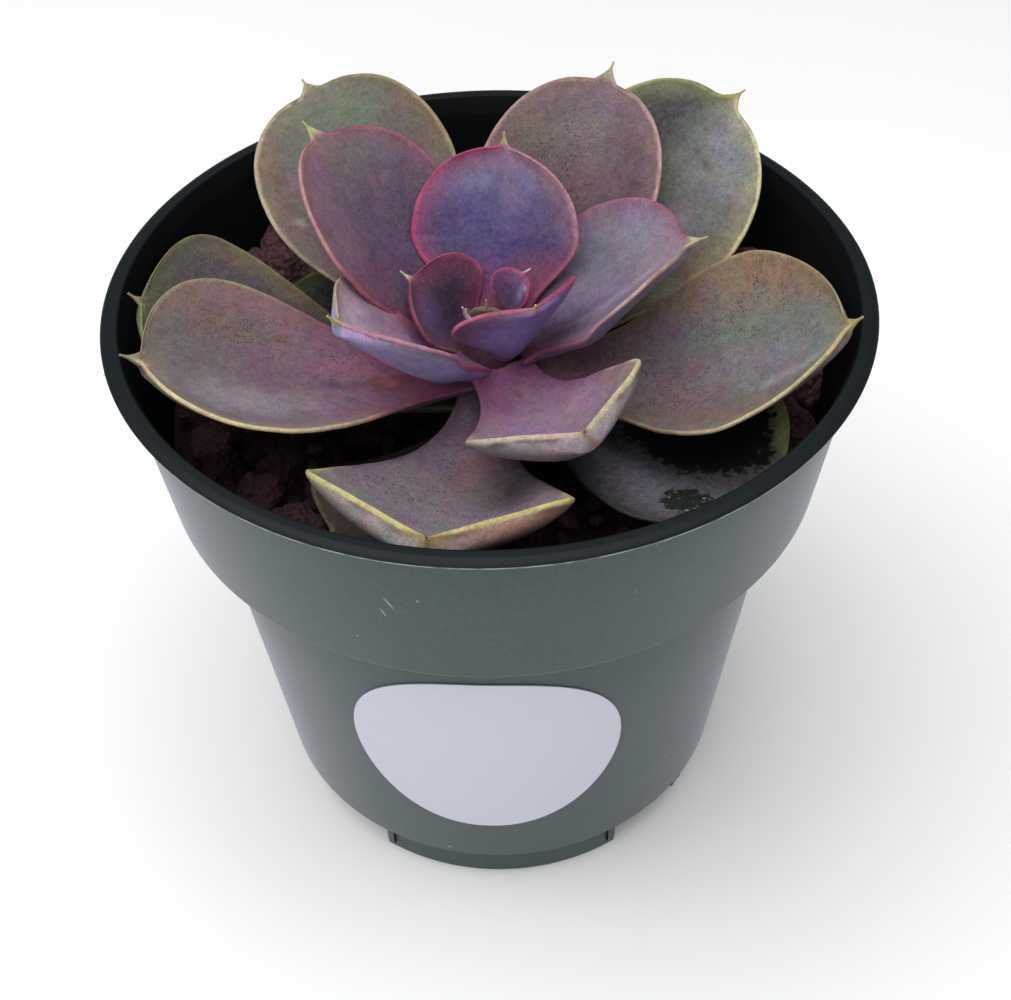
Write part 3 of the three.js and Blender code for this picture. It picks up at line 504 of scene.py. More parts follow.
def plastic_outside(settings):
    """Injection-moulded polypropylene, filled dark green: satin, with a fine lilac haze at a slant, a pale
    flash line along the lip's edge, a top of the lip painted darker as painted shade, with less sheen and
    gloss, a few specks of dust and some fine scratches."""
    material, tree = new_material("Moulded dark green polypropylene")
    where = add(tree, "ShaderNodeTexCoord").outputs["Object"]
    cloud, mottle, grain, dust, ragged = (
        add(tree, "ShaderNodeTexNoise", {"Vector": where, "Scale": 1 / (size * MM), "Detail": detail})
        for size, detail in ((22, 4), (0.7, 5), (0.3, 3), (1.3, 3), (2.5, 4))
    )
    tone = add(tree, "ShaderNodeMapRange", {"Value": cloud, "To Min": 0.85, "To Max": 1.12})
    fleck = add(tree, "ShaderNodeMapRange", {"Value": mottle, "From Min": 0.3, "From Max": 0.7,
                                             "To Min": 0.76, "To Max": 1.24})
    both = add(tree, "ShaderNodeMath", {0: tone, 1: fleck}, operation="MULTIPLY")
    colour = add(tree, "ShaderNodeMix", {"Factor": 1.0, 6: tuple(settings.plastic), 7: both},
                 data_type="RGBA", blend_type="MULTIPLY")
    specks = add(tree, "ShaderNodeMapRange", {"Value": dust, "From Min": 0.74, "From Max": 0.78,
                                              "To Max": 0.5})
    height = add(tree, "ShaderNodeSeparateXYZ", {0: where}).outputs["Z"]
    flash_z = settings.height - 0.78 * MM
    above = add(tree, "ShaderNodeMath", {0: height, 1: flash_z}, operation="SUBTRACT")
    away = add(tree, "ShaderNodeMath", {0: above}, operation="ABSOLUTE")
    flash = add(tree, "ShaderNodeMapRange", {"Value": away, "From Min": 0.17 * MM, "From Max": 0.07 * MM})
    level = add(tree, "ShaderNodeVectorMath", {0: where, 1: (1, 1, 0)}, operation="MULTIPLY")
    reach = add(tree, "ShaderNodeVectorMath", {0: level}, operation="LENGTH")
    outer = add(tree, "ShaderNodeMapRange", {"Value": reach, "From Min": settings.lip_radius - 0.45 * MM,
                                             "From Max": settings.lip_radius - 0.2 * MM})
    broken = add(tree, "ShaderNodeMapRange", {"Value": ragged, "From Min": 0.4, "From Max": 0.56,
                                              "To Min": 0.1, "To Max": 0.8})
    line = add(tree, "ShaderNodeMath", {0: flash, 1: outer}, operation="MULTIPLY")
    line = add(tree, "ShaderNodeMath", {0: line, 1: broken}, operation="MULTIPLY")
    pale = add(tree, "ShaderNodeMath", {0: specks, 1: line}, operation="MAXIMUM")
    for place_at, long, wide, lean in SCRATCHES:
        spot = add(tree, "ShaderNodeVectorMath", {0: where, 1: tuple(v * MM for v in place_at)},
                   operation="SUBTRACT")
        spot = add(tree, "ShaderNodeVectorRotate", {"Vector": spot, "Angle": lean}, rotation_type="Y_AXIS")
        spot = add(tree, "ShaderNodeVectorMath", {0: spot, 1: (1 / (wide * MM), 0.4 / MM, 1 / (long * MM))},
                   operation="MULTIPLY")
        gap = add(tree, "ShaderNodeVectorMath", {0: spot}, operation="LENGTH")
        scratch = add(tree, "ShaderNodeMapRange", {"Value": gap, "From Min": 1.0, "From Max": 0.5,
                                                   "To Max": 0.6})
        pale = add(tree, "ShaderNodeMath", {0: pale, 1: scratch}, operation="MAXIMUM")
    # Painted shade: the top of the lip is painted darker, with less sheen and gloss
    top = add(tree, "ShaderNodeMapRange", {"Value": height, "From Min": settings.height - 0.68 * MM,
                                           "From Max": settings.height - 0.6 * MM})
    for mask, paint in ((pale, settings.flash), (top, settings.lip_top_shade)):
        colour = add(tree, "ShaderNodeMix", {"Factor": mask, 6: colour, 7: tuple(paint)}, data_type="RGBA")
    sheen = add(tree, "ShaderNodeMapRange", {"Value": top, "To Min": 0.35, "To Max": 0.0})
    gloss = add(tree, "ShaderNodeMapRange", {"Value": top, "To Min": 0.5, "To Max": 0.15})
    rough = add(tree, "ShaderNodeMapRange", {"Value": cloud, "To Min": 0.42, "To Max": 0.55})
    bump = add(tree, "ShaderNodeBump", {"Height": grain, "Strength": 0.15, "Distance": 0.05 * MM})
    shader = add(tree, "ShaderNodeBsdfPrincipled", {
        "Base Color": colour, "Roughness": rough, "Normal": bump, "IOR": 1.49, "Specular IOR Level": gloss,
        "Sheen Weight": sheen, "Sheen Roughness": 0.35, "Sheen Tint": tuple(settings.haze),
    })
    add(tree, "ShaderNodeOutputMaterial", {"Surface": shader})
    return material


def plastic_inside(settings):
    """The same plastic inside the pot, painted nearly black as painted shade and given little gloss, with
    dull run marks.
    """
    material, tree = new_material("Dark green polypropylene in painted shade")
    where = add(tree, "ShaderNodeTexCoord").outputs["Object"]
    runs = add(tree, "ShaderNodeTexNoise", {"Vector": where, "Scale": 1 / (6 * MM), "Detail": 5})
    tone = add(tree, "ShaderNodeMapRange", {"Value": runs, "To Min": 0.6, "To Max": 1.5})
    # Painted shade: the inside is painted far darker than the same plastic outside
    colour = add(tree, "ShaderNodeMix", {"Factor": 1.0, 6: tuple(settings.damp), 7: tone}, data_type="RGBA",
                 blend_type="MULTIPLY")
    shader = add(tree, "ShaderNodeBsdfPrincipled", {"Base Color": colour, "Roughness": 0.6,
                                                    "Specular IOR Level": 0.12})
    add(tree, "ShaderNodeOutputMaterial", {"Surface": shader})
    return material


# The notches in the foot: their azimuths in degrees, and the blocks that are joined on as each one's wall
# and cut out as its hollow, from an inner to an outer radius, over half an angle, and from a low to a high
# level, in millimetres and degrees
NOTCH_AZIMUTHS = (-46, 44, 134, 224)
NOTCH_BLOCKS = (
    ("UNION", 29.6, 34.9, 15, 1.8, 9.4),
    ("DIFFERENCE", 31, 54, 12.5, -1, 8),
)
# The level drain hole behind each notch, in millimetres: its own radius, the radius and the height that its
# middle lies at, and its length
DRAIN_RADIUS, DRAIN_REACH, DRAIN_Z, DRAIN_LENGTH = 1.9, 30.3, 5.3, 6
# The burrs that the mould left on the lip's edge, the first of them close together in front
BURR_SEED = 613
BURRS, CLOSE_BURRS = 22, 9


class ECHEVERIA_OT_pot(Operator):
    """Moulds the nursery pot: lip, band, tapering body and notched foot with its drain holes"""
    bl_idname = "echeveria.pot"
    bl_label = "Nursery pot"

    def execute(self, context):
        s = context.scene.echeveria_pot
        lip_z = s.height - s.lip_height
        slope = (s.band_top_radius - s.band_foot_radius) / (lip_z - s.band_foot_z)
        step_z = s.band_foot_z + s.wall
        band_inside = s.band_foot_radius - s.wall
        mouth = band_inside + slope * (s.height - step_z)
        hub = 0.2 * MM
        underside_z, floor_z = 1.5 * MM, 3 * MM
        # The corners, from the middle of the underside out and up to the lip, and down the inside to the
        # middle of the floor, each with its radius, its height and its fillet
        outline = [
            (hub, underside_z),
            (27 * MM, underside_z, 0.4 * MM),
            (27.6 * MM, 0, 0.3 * MM),
            (s.foot_radius, 0, 0.6 * MM),
            (s.foot_radius + 0.15 * MM, s.body_foot_z, 0.1 * MM),
            (s.body_foot_radius, s.body_foot_z, 0.5 * MM),
            (s.body_top_radius, s.band_foot_z, 0.5 * MM),
            (s.band_foot_radius, s.band_foot_z, 0.7 * MM),
            (s.band_top_radius, lip_z, 0.3 * MM),
            (s.lip_radius - 0.15 * MM, lip_z, 0.15 * MM),
            (s.lip_radius, lip_z + 0.45 * MM, 0.08 * MM),
            (s.lip_radius - 0.3 * MM, lip_z + 0.7 * MM, 0.1 * MM),
            (s.lip_radius - 1.1 * MM, s.height, 0.5 * MM),
            (mouth + 0.9 * MM, s.height, 0.3 * MM),
            (mouth, s.height - 3 * MM, 1.5 * MM),
            (band_inside, step_z, 0.8 * MM),
            (s.body_top_radius - s.wall, step_z, 0.5 * MM),
            (s.body_foot_radius - s.wall, s.body_foot_z + s.wall, 0.5 * MM),
            (s.foot_radius - s.wall, s.body_foot_z + s.wall, 0.5 * MM),
            (s.foot_radius - s.wall, floor_z, 0.5 * MM),
            (hub, floor_z),
        ]
        pot = turn_on_lathe("nursery_pot", round_corners(outline), s.segments)
        self.cut_notches(context, pot)
        self.add_burrs(pot, s)
        bpy.ops.object.shade_smooth_by_angle(angle=math.radians(35))
        place(pot, [plastic_outside(s), plastic_inside(s)], "pot_plastic", "pot")
        # Painted shade inside the edge of the lip, in the darker inside material: what faces the axis, what
        # rounds into the lip, and the floor
        inner_edge = s.lip_radius - 2.2 * MM
        rounding_z = s.height - 1.5 * MM
        floor_edge = 34.5 * MM
        above_underside = 2.5 * MM
        for face in pot.data.polygons:
            z, reach = face.center.z, face.center.xy.length
            inwards = Vector((face.center.x, face.center.y, 0)).dot(face.normal) < 0
            inside = inwards or z > rounding_z or reach < floor_edge
            if inside and z > above_underside and reach < inner_edge:
                face.material_index = 1
        return {"FINISHED"}

    def cut_notches(self, context, pot):
        """Presses the foot ring in at each notch and drills its drain hole."""
        for azimuth in NOTCH_AZIMUTHS:
            turn = Matrix.Rotation(math.radians(azimuth), 4, "Z")
            for operation, inner, outer, half, low, high in NOTCH_BLOCKS:
                bpy.ops.object.select_all(action="DESELECT")
                bpy.ops.mesh.primitive_cube_add(size=1)
                tool = context.object
                for vertex in tool.data.vertices:
                    reach = (outer if vertex.co.x > 0 else inner) * MM
                    side = reach * math.tan(math.radians(half)) * (1 if vertex.co.y > 0 else -1)
                    vertex.co = (reach, side, (high if vertex.co.z > 0 else low) * MM)
                tool.data.transform(turn)
                boolean(pot, tool, operation)
            bpy.ops.object.select_all(action="DESELECT")
            middle = (DRAIN_REACH * MM, 0, DRAIN_Z * MM)
            bpy.ops.mesh.primitive_cylinder_add(vertices=32, radius=DRAIN_RADIUS * MM,
                                                depth=DRAIN_LENGTH * MM, location=middle,
                                                rotation=(0, math.pi / 2, 0))
            bpy.ops.object.transform_apply()
            tool = context.object
            tool.data.transform(turn)
            boolean(pot, tool, "DIFFERENCE")

    def add_burrs(self, pot, s):
        """Leaves short threads of plastic on the lip's edge."""
        draw = Draw(BURR_SEED)
        mesh = bmesh.new()
        mesh.from_mesh(pot.data)
        for i in range(BURRS):
            start, end = (-160, -60) if i < CLOSE_BURRS else (0, 360)
            angle = math.radians(draw.between(start, end))
            lean = Matrix.Rotation(angle, 4, "Z") @ Matrix.Rotation(draw.between(1.0, 1.9), 4, "Y")
            lean = Matrix.Rotation(draw.between(-0.9, 0.9), 4, "Z") @ lean
            foot = Vector((math.cos(angle), math.sin(angle), 0)) * (s.lip_radius - 0.3 * MM)
            foot.z = s.height - 0.7 * MM
            long = draw.between(0.4, 0.9) * MM
            stand = Matrix.Translation(foot) @ lean @ Matrix.Translation((0, 0, long / 3))
            bmesh.ops.create_cone(mesh, cap_ends=True, segments=5, radius1=0.1 * MM, radius2=0.02 * MM,
                                  depth=long, matrix=stand)
        mesh.to_mesh(pot.data)
        mesh.free()


def mottled_material(name, colours, size, detail, roughness, strength, depth):
    """A plain finish: two colours that a noise mixes, and a bump from the same noise. The size of the noise
    and the depth of the bump are in millimetres."""
    material, tree = new_material(name)
    where = add(tree, "ShaderNodeTexCoord").outputs["Object"]
    spread = add(tree, "ShaderNodeTexNoise", {"Vector": where, "Scale": 1 / (size * MM), "Detail": detail})
    first, second = (tuple(colour) for colour in colours)
    colour = add(tree, "ShaderNodeMix", {"Factor": spread, 6: first, 7: second}, data_type="RGBA")
    bump = add(tree, "ShaderNodeBump", {"Height": spread, "Strength": strength, "Distance": depth * MM})
    shader = add(tree, "ShaderNodeBsdfPrincipled", {"Base Color": colour, "Roughness": roughness,
                                                    "Normal": bump})
    add(tree, "ShaderNodeOutputMaterial", {"Surface": shader})
    return material


def body_radius(s, z):
    """Outer radius of the tapering body below the band."""
    share = (z - s.body_foot_z) / (s.band_foot_z - s.body_foot_z)
    return s.body_foot_radius + (s.body_top_radius - s.body_foot_radius) * share


def label_film(settings):
    """Smooth coated label film: flat and nearly white, a little cool, with the faint fibres of its paper."""
    return mottled_material("Smooth coated label film", (settings.film, settings.fibre), size=3, detail=6,
                            roughness=0.45, strength=0.1, depth=0.05)


class ECHEVERIA_OT_label(Operator):
    """Sticks the blank label on the front of the body"""
    bl_idname = "echeveria.label"
    bl_label = "Blank label"

    def execute(self, context):
        s = context.scene.echeveria_label
        pot = context.scene.echeveria_pot
        columns, rows = 96, 40
        gap = 0.04 * MM
        bpy.ops.object.select_all(action="DESELECT")
        bpy.ops.mesh.primitive_grid_add(x_subdivisions=columns, y_subdivisions=rows, size=2)
        label = context.object
        label.name = "blank_label"
        # Two rounded arches that meet at the sides, where 0.998 keeps the last column from closing up
        for vertex in label.data.vertices:
            side = math.sin(0.998 * vertex.co.x * math.pi / 2)
            top = s.widest_z + s.rise * math.sqrt(1 - abs(side) ** 2.4)
            bottom = s.widest_z - s.drop * math.sqrt(1 - abs(side) ** 2.2)
            z = bottom + (top - bottom) * (vertex.co.y + 1) / 2
            angle = s.azimuth + s.half_angle * side
            radius = body_radius(pot, z) + gap
            vertex.co = (radius * math.cos(angle), radius * math.sin(angle), z)
        wall = label.modifiers.new("film", "SOLIDIFY")
        wall.thickness = s.thickness
        wall.offset = 1
        bpy.ops.object.modifier_apply(modifier=wall.name)
        bpy.ops.object.shade_smooth_by_angle(angle=math.radians(40))
        place(label, [label_film(s)], "label_film", "label")
        return {"FINISHED"}


# The crust under the gravel, in millimetres: its level round the stem, its level at the wall in front, how
# much higher it is heaped at the back, where it starts to rise, and over what width
CRUST_MIDDLE_Z, CRUST_WALL_Z, CRUST_HEAP, CRUST_DIP, CRUST_RISE = 68.5, 73, 5, 10, 32
CRUST_RINGS = (5, 8, 12, 17, 22, 27, 32, 37, 42, 46, 47.4)
CRUST_SIDES = 96
# The radius in millimetres that the stones may fill inside the band at a height, and how much it grows with
# each millimetre above that
BAND_INSIDE, BAND_INSIDE_Z, BAND_INSIDE_SLOPE = 47.3, 70, 3.1 / 26


def crust_height(radius, azimuth):
    """Height of the gravel's crust in millimetres: sunk round the stem, and heaped towards the back."""
    tilt = (1 + math.sin(math.radians(azimuth))) / 2
    share = min(max((radius - CRUST_DIP) / CRUST_RISE, 0), 1)
    return CRUST_MIDDLE_Z + (CRUST_WALL_Z + CRUST_HEAP * tilt - CRUST_MIDDLE_Z) * share ** 1.5


def inside_radius(z):
    """Inner radius of the band at a height, with a little room, in millimetres."""
    return BAND_INSIDE + BAND_INSIDE_SLOPE * (z - BAND_INSIDE_Z)


def painted_back_light(azimuth):
    """How much painted light pales the stones at an azimuth in degrees: 0 in front, where they lie in shade,
    and 1 at the back, where light falls on them.
    """
    return 0.5 + 0.5 * math.sin(math.radians(azimuth))


def around(radius, azimuth, z):
    """The point at a radius, an azimuth in degrees and a height."""
    angle = math.radians(azimuth)
    return Vector((radius * math.cos(angle), radius * math.sin(angle), z))


STONE_SEED = 4211
GRIT_SEED = 977
# The corners of a stone's hull, and the size of its pits in millimetres
STONE_CORNERS = 10
PIT_SIZE = 2.2
# The loose stones on top, in millimetres and degrees: radius, azimuth, height over the crust and size
LOOSE_STONES = [
    (43, 139.5, 3, 6.4), (42, 122, 1.6, 4.6), (45.5, 144, 3.8, 3.2), (45, 28, 5.5, 5),
    (43, 20, 1.8, 4.6), (45, -4, 4, 5.4), (44, -15, 2.6, 4.8), (41, 92, 1.6, 5),
    (42, 196, 1.4, 4.6), (39, 212, 1.4, 4.4), (40.5, 227, 3.4, 4.8), (42, -72, 1.2, 4.4),
]


def add_stone(heap, draw, centre, size, cuts):
    """One broken lava stone: the hull of random points near a flattened ball, split fine and pitted, and
    pressed in where it would stick out of the pot."""
    long = draw.between(0.85, 1.25)
    stretch = Vector((long, 1 / long, draw.between(0.6, 0.85)))
    turn = draw.between(0, math.pi)
    points = []
    for i in range(STONE_CORNERS):
        height = 1 - 2 * (i + 0.5) / STONE_CORNERS
        angle = i * 2.4 + draw.between(-0.4, 0.4)
        reach = size * draw.between(0.82, 1.12)
        level = math.sqrt(1 - height * height)
        points.append(Vector((level * math.cos(angle), level * math.sin(angle), height)) * stretch * reach)
    tilt = Matrix.Rotation(draw.between(-0.5, 0.5), 3, "X")
    tilt = tilt @ Matrix.Rotation(draw.between(-0.5, 0.5), 3, "Y")
    tilt = tilt @ Matrix.Rotation(turn, 3, "Z")
    stone = bmesh.new()
    for point in points:
        stone.verts.new(tilt @ point)
    bmesh.ops.convex_hull(stone, input=stone.verts)
    bmesh.ops.subdivide_edges(stone, edges=stone.edges, cuts=cuts, use_grid_fill=True)
    bmesh.ops.smooth_vert(stone, verts=stone.verts, factor=0.5, use_axis_x=True, use_axis_y=True,
                          use_axis_z=True)
    stone.normal_update()
    for vertex in stone.verts:
        where = vertex.co + centre
        rough = noise.fractal(where / PIT_SIZE, 0.7, 2.1, 5)
        vertex.co += vertex.normal * (0.04 * size + 0.13 * size * rough)
    for vertex in stone.verts:
        vertex.co += centre
        radius = math.hypot(vertex.co.x, vertex.co.y)
        room = inside_radius(vertex.co.z)
        if radius > room:
            vertex.co.x *= room / radius
            vertex.co.y *= room / radius
        vertex.co *= MM
    part = bpy.data.meshes.new("stone")
    stone.to_mesh(part)
    stone.free()
    heap.from_mesh(part)
    bpy.data.meshes.remove(part)


def lava(settings):
    """Crushed lava, porous and rough, dull reddish brown, paler on some stones and in patches, and painted
    paler towards the back of the pot as painted light.
    """
    material, tree = new_material("Crushed porous lava")
    where = add(tree, "ShaderNodeTexCoord").outputs["Object"]
    tone = add(tree, "ShaderNodeAttribute", attribute_name="stone_tone").outputs["Fac"]
    cloud = add(tree, "ShaderNodeTexNoise", {"Vector": where, "Scale": 1 / (1.6 * MM), "Detail": 8,
                                             "Roughness": 0.75})
    pores = add(tree, "ShaderNodeTexVoronoi", {"Vector": where, "Scale": 1 / (0.8 * MM)}).outputs["Distance"]
    spread = add(tree, "ShaderNodeMapRange", {"Value": cloud, "From Min": 0.3, "From Max": 0.75})
    mixed = add(tree, "ShaderNodeMath", {0: tone, 1: spread}, operation="MULTIPLY")
    colour = add(tree, "ShaderNodeMix", {"Factor": mixed, 6: tuple(settings.stone), 7: tuple(settings.pale)},
                 data_type="RGBA")
    height = add(tree, "ShaderNodeMath", {0: pores, 1: cloud}, operation="ADD")
    bump = add(tree, "ShaderNodeBump", {"Height": height, "Strength": 1.0, "Distance": 0.6 * MM})
    shader = add(tree, "ShaderNodeBsdfPrincipled", {"Base Color": colour, "Roughness": 0.8, "Normal": bump,
                                                    "Specular IOR Level": 0.3})
    add(tree, "ShaderNodeOutputMaterial", {"Surface": shader})
    return material


class ECHEVERIA_OT_gravel(Operator):
    """Heaps the lava gravel on its crust"""
    bl_idname = "echeveria.gravel"
    bl_label = "Lava gravel"

    def execute(self, context):
        settings = context.scene.echeveria_gravel
        heap = bmesh.new()
        tones = []

        def lay_stone(draw, radius, azimuth, lift, size, cuts):
            centre = around(radius, azimuth, crust_height(radius, azimuth) + lift)
            add_stone(heap, draw, centre, size, cuts)

        def tell_tone(tone):
            tones.extend([tone] * (len(heap.verts) - len(tones)))

        # By the rule, larger towards the wall, each one turned on by about the golden angle
        draw = Draw(STONE_SEED)
        for i in range(settings.stone_count):
            reach = math.sqrt((i + 0.5) / settings.stone_count)
            azimuth = i * 137.5 + draw.between(-6, 6)
            size = (0.45 + 0.55 * reach) * draw.between(4.2, 6.2)
            lay_stone(draw, 9 + 36.7 * reach, azimuth, 0.1 * size, size, 5)
            # Each stone's tone is random, and paler towards the back as painted light
            tell_tone((i * 7 % 10) / 10 * (0.1 + 0.75 * painted_back_light(azimuth)))
        for radius, azimuth, lift, size in LOOSE_STONES:
            lay_stone(draw, radius, azimuth, lift, size, 6)
            # The loose stones' tone is random too, and paler towards the back as painted light
            tell_tone(draw.between(0.55, 1.15) * (0.25 + 0.75 * painted_back_light(azimuth)))
        grit = Draw(GRIT_SEED)
        for i in range(settings.grit_count):
            reach = math.sqrt((i + 0.5) / settings.grit_count)
            lay_stone(grit, 7 + 39 * reach, i * 137.508, grit.between(-0.4, 1.4), grit.between(0.9, 2.2), 1)
            tell_tone(grit.between(0, 0.5))
        self.add_crust(heap)
        tell_tone(0)
        mesh = bpy.data.meshes.new("lava_stones")
        heap.to_mesh(mesh)
        heap.free()
        gravel = new_piece("lava_stones", mesh)
        tone = mesh.attributes.new("stone_tone", "FLOAT", "POINT")
        tone.data.foreach_set("value", tones)
        place(gravel, [lava(settings)], "lava_stone", "lava_gravel")
        return {"FINISHED"}

    def add_crust(self, heap):
        """Lays the rough sheet that shows between the stones, ring by ring from the stem to the wall."""
        crust = bmesh.new()
        rings = []
        for radius in CRUST_RINGS:
            ring = []
            for k in range(CRUST_SIDES):
                azimuth = 360 * k / CRUST_SIDES
                spot = around(radius, azimuth, 0)
                spot.z = crust_height(radius, azimuth) - 0.6 + 0.9 * noise.noise(spot / 3)
                ring.append(crust.verts.new(spot * MM))
            rings.append(ring)
        for inner, outer in zip(rings, rings[1:]):
            for k in range(CRUST_SIDES):
                after = (k + 1) % CRUST_SIDES
                crust.faces.new((inner[k], outer[k], outer[after], inner[after]))
        part = bpy.data.meshes.new("crust")
        crust.to_mesh(part)
        crust.free()
        heap.from_mesh(part)
        bpy.data.meshes.remove(part)


def peat_crumbs(settings):
    """Damp peat with crumbs of bark: dark, rough and lumpy."""
    return mottled_material("Damp peat and bark crumbs", (settings.peat, settings.bark), size=1.5, detail=8,
                            roughness=0.95, strength=1.0, depth=0.8)


class ECHEVERIA_OT_filling(Operator):
    """Gives the potting mix its crumbly finish"""
    bl_idname = "echeveria.filling"
    bl_label = "Potting mix"

    def execute(self, context):
        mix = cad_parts["potting_mix"]
        mix.data.materials.clear()
        mix.data.materials.append(peat_crumbs(context.scene.echeveria_filling))
        return {"FINISHED"}


def stem_skin(settings):
    """The dry skin of an old stem: reddish brown, painted as dark as it looks in the shade of the leaves,
    dull and a little corky.
    """
    return mottled_material("Dry stem skin", (settings.skin, settings.cork), size=1.8, detail=6,
                            roughness=0.8, strength=0.7, depth=0.4)


class ECHEVERIA_OT_stem(Operator):
    """Turns the short stem with the scars of its shed leaves"""
    bl_idname = "echeveria.stem"
    bl_label = "Stem"

    def execute(self, context):
        # Radii and heights in millimetres: the root crown, a ring for each pair of scars, and the end
        crown = [(0.2, 55), (2, 55), (4.2, 58), (5, 63), (4.3, 67)]
        scars = [(3.6 + (0.35 if i % 2 else 0), 69 + i * 0.9) for i in range(15)]
        end = [(3.4, 82.8), (2.5, 85), (1.2, 87.5), (0.2, 88.5)]
        profile = [(r * MM, z * MM) for r, z in crown + scars + end]
        stem = turn_on_lathe("rosette_stem", profile, 48)
        bpy.ops.object.shade_smooth()
        place(stem, [stem_skin(context.scene.echeveria_stem)], "stem_bark", "stem")
        return {"FINISHED"}


def half_width(leaf, x):
    """Half the width of a leaf at distances from its foot: narrow foot, round blade and drawn-out point,
    which grows from a blunt end over its last 6 mm."""
    wide = leaf["width"] / 2
    foot = leaf["foot_width"] / 2
    share = np.clip(x / leaf["length"], 0, 1)
    to_tip = np.clip((share - leaf["belly"]) / (1 - leaf["belly"]), 0, 1)
    to_belly = np.minimum(share / leaf["belly"], 1)
    widening = foot + (wide - foot) * (1 - np.cos(math.pi * to_belly ** 1.15)) / 2
    closing = wide * np.sqrt(1 - to_tip ** leaf["blunt"])
    blade = np.where(share < leaf["belly"], widening, closing)
    left = np.clip(leaf["length"] + leaf["point"] - x, 0, 6)
    point = np.minimum(0.16 + 0.2 * left ** 1.75, 3) * np.clip((share - 0.7) / 0.3, 0, 1)
    return np.hypot(blade, point)


def midline(leaf, x):
    """Points along the middle of a leaf, and its directions along, across and up there."""
    share = np.minimum(x / leaf["length"], 1.2)
    near_end = np.clip((share - 0.6) / 0.4, 0, 1.15)
    slope = np.radians(leaf["rise"] + leaf["bend"] * share + leaf["curl"] * near_end ** 2)
    heading = np.radians(leaf["azimuth"] + leaf["sway"] * (share - 0.35))
    turn = math.radians(leaf["twist"]) * np.minimum(share / 0.5, 1)
    along = np.stack([np.cos(slope) * np.cos(heading), np.cos(slope) * np.sin(heading), np.sin(slope)], 1)
    level = np.stack([-np.sin(heading), np.cos(heading), 0 * heading], 1)
    over = np.cross(along, level)
    across = level * np.cos(turn)[:, None] + over * np.sin(turn)[:, None]
    up = over * np.cos(turn)[:, None] - level * np.sin(turn)[:, None]
    azimuth = math.radians(leaf["azimuth"])
    foot = [leaf["foot_radius"] * math.cos(azimuth), leaf["foot_radius"] * math.sin(azimuth), leaf["foot_z"]]
    steps = (along[1:] + along[:-1]) / 2 * np.diff(x)[:, None]
    points = np.vstack([foot, foot + np.cumsum(steps, 0)])
    return points, across, up, share


def fade(value, start, end):
    """0 at one value, 1 at another, and smooth between them."""
    t = np.clip((value - start) / (end - start), 0, 1)
    return t * t * (3 - 2 * t)


def mix(colour, other, share):
    """A column of colours shifted towards another by a share for each."""
    return colour + (np.asarray(other) - colour) * share[:, None]


def tint_leaf(look, along, across, rim, tip, face, ripple, warp):
    """The colours of a leaf's points, from where they lie on it and from two random waves. The distance from
    the tip is given in lengths of the leaf's point."""
    foot, middle, end = (linear(c) for c in look["face"])
    way = along + 0.12 * ripple
    upper = mix(np.tile(foot, (len(along), 1)), middle, fade(way, 0.08, 0.5))
    upper = mix(upper, end, fade(way, 0.5, 0.98))
    lower = np.tile(linear(look["under"]), (len(along), 1))
    for colours, patches in (upper, look["patches"]), (lower, look["below"]):
        for hex_colour, at_along, at_across, long, wide, strength in patches:
            off_along = (along + 0.5 * min(long, 0.12) * warp - at_along) / long
            off_across = (across + 0.6 * min(wide, 0.25) * ripple - at_across) / wide
            share = strength * np.exp(-(off_along ** 2 + off_across ** 2) ** 1.3)
            colours[:] = mix(colours, linear(hex_colour), share)
    above = fade(face, 0.1, 0.4)[:, None]
    colour = upper * above + lower * (1 - above)
    margins = []
    for side in ("left", "right"):
        start, finish = (linear(c) for c in look[side])
        margins.append(mix(np.tile(start, (len(along), 1)), finish, fade(way, *look["turn"])))
    sides = fade(across, -0.35, 0.35)[:, None]
    margin = margins[0] * sides + margins[1] * (1 - sides)
    edge = rim - 0.25 + 0.2 * warp
    blush = look["blush"] * fade(edge, 5, 0.4) ** 1.5
    colour = mix(colour, margin * 0.75, blush * np.where(face > 0.3, 1, 0.4))
    beneath = look["rust"] * np.where(face < 0.6, 1, 0) * fade(edge, 1.6, 0.7)
    broken = fade(warp + ripple, -0.3, 0.3)
    colour = mix(colour, linear(RUST), beneath * broken * fade(along, 0.3, 0.6))
    pale = 0.95 * fade(edge, look["band"] * 1.1, look["band"] * 0.3) * (0.95 + 0.3 * ripple)
    colour = mix(colour, margin * (1 + 0.2 * warp)[:, None], np.clip(pale, 0, 1))
    return mix(colour, linear(look["point"]), fade(tip, 1.1, 0.45))


def spot_share(along, across, spot):
    """1 in the middle of a spot on a leaf, falling off smoothly over its reach both ways."""
    at_along, at_across, long, wide = spot
    return np.exp(-((along - at_along) / long) ** 2 - ((across - at_across) / wide) ** 2)


def leaf_section(v, half, bow, fold):
    """Sideways places and lifts of the points v, from -1 to 1, of a cupped cross-section: a round arc that
    is mixed with a fold."""
    round_side = half / bow * np.sin(bow * v)
    round_lift = half / bow * (1 - np.cos(bow * v))
    fold_side = half * v * math.cos(bow / 2)
    fold_lift = half * (np.sqrt(v * v + FOLD_ROUNDNESS) - math.sqrt(FOLD_ROUNDNESS)) * math.sin(bow / 2)
    return round_side + (fold_side - round_side) * fold, round_lift + (fold_lift - round_lift) * fold


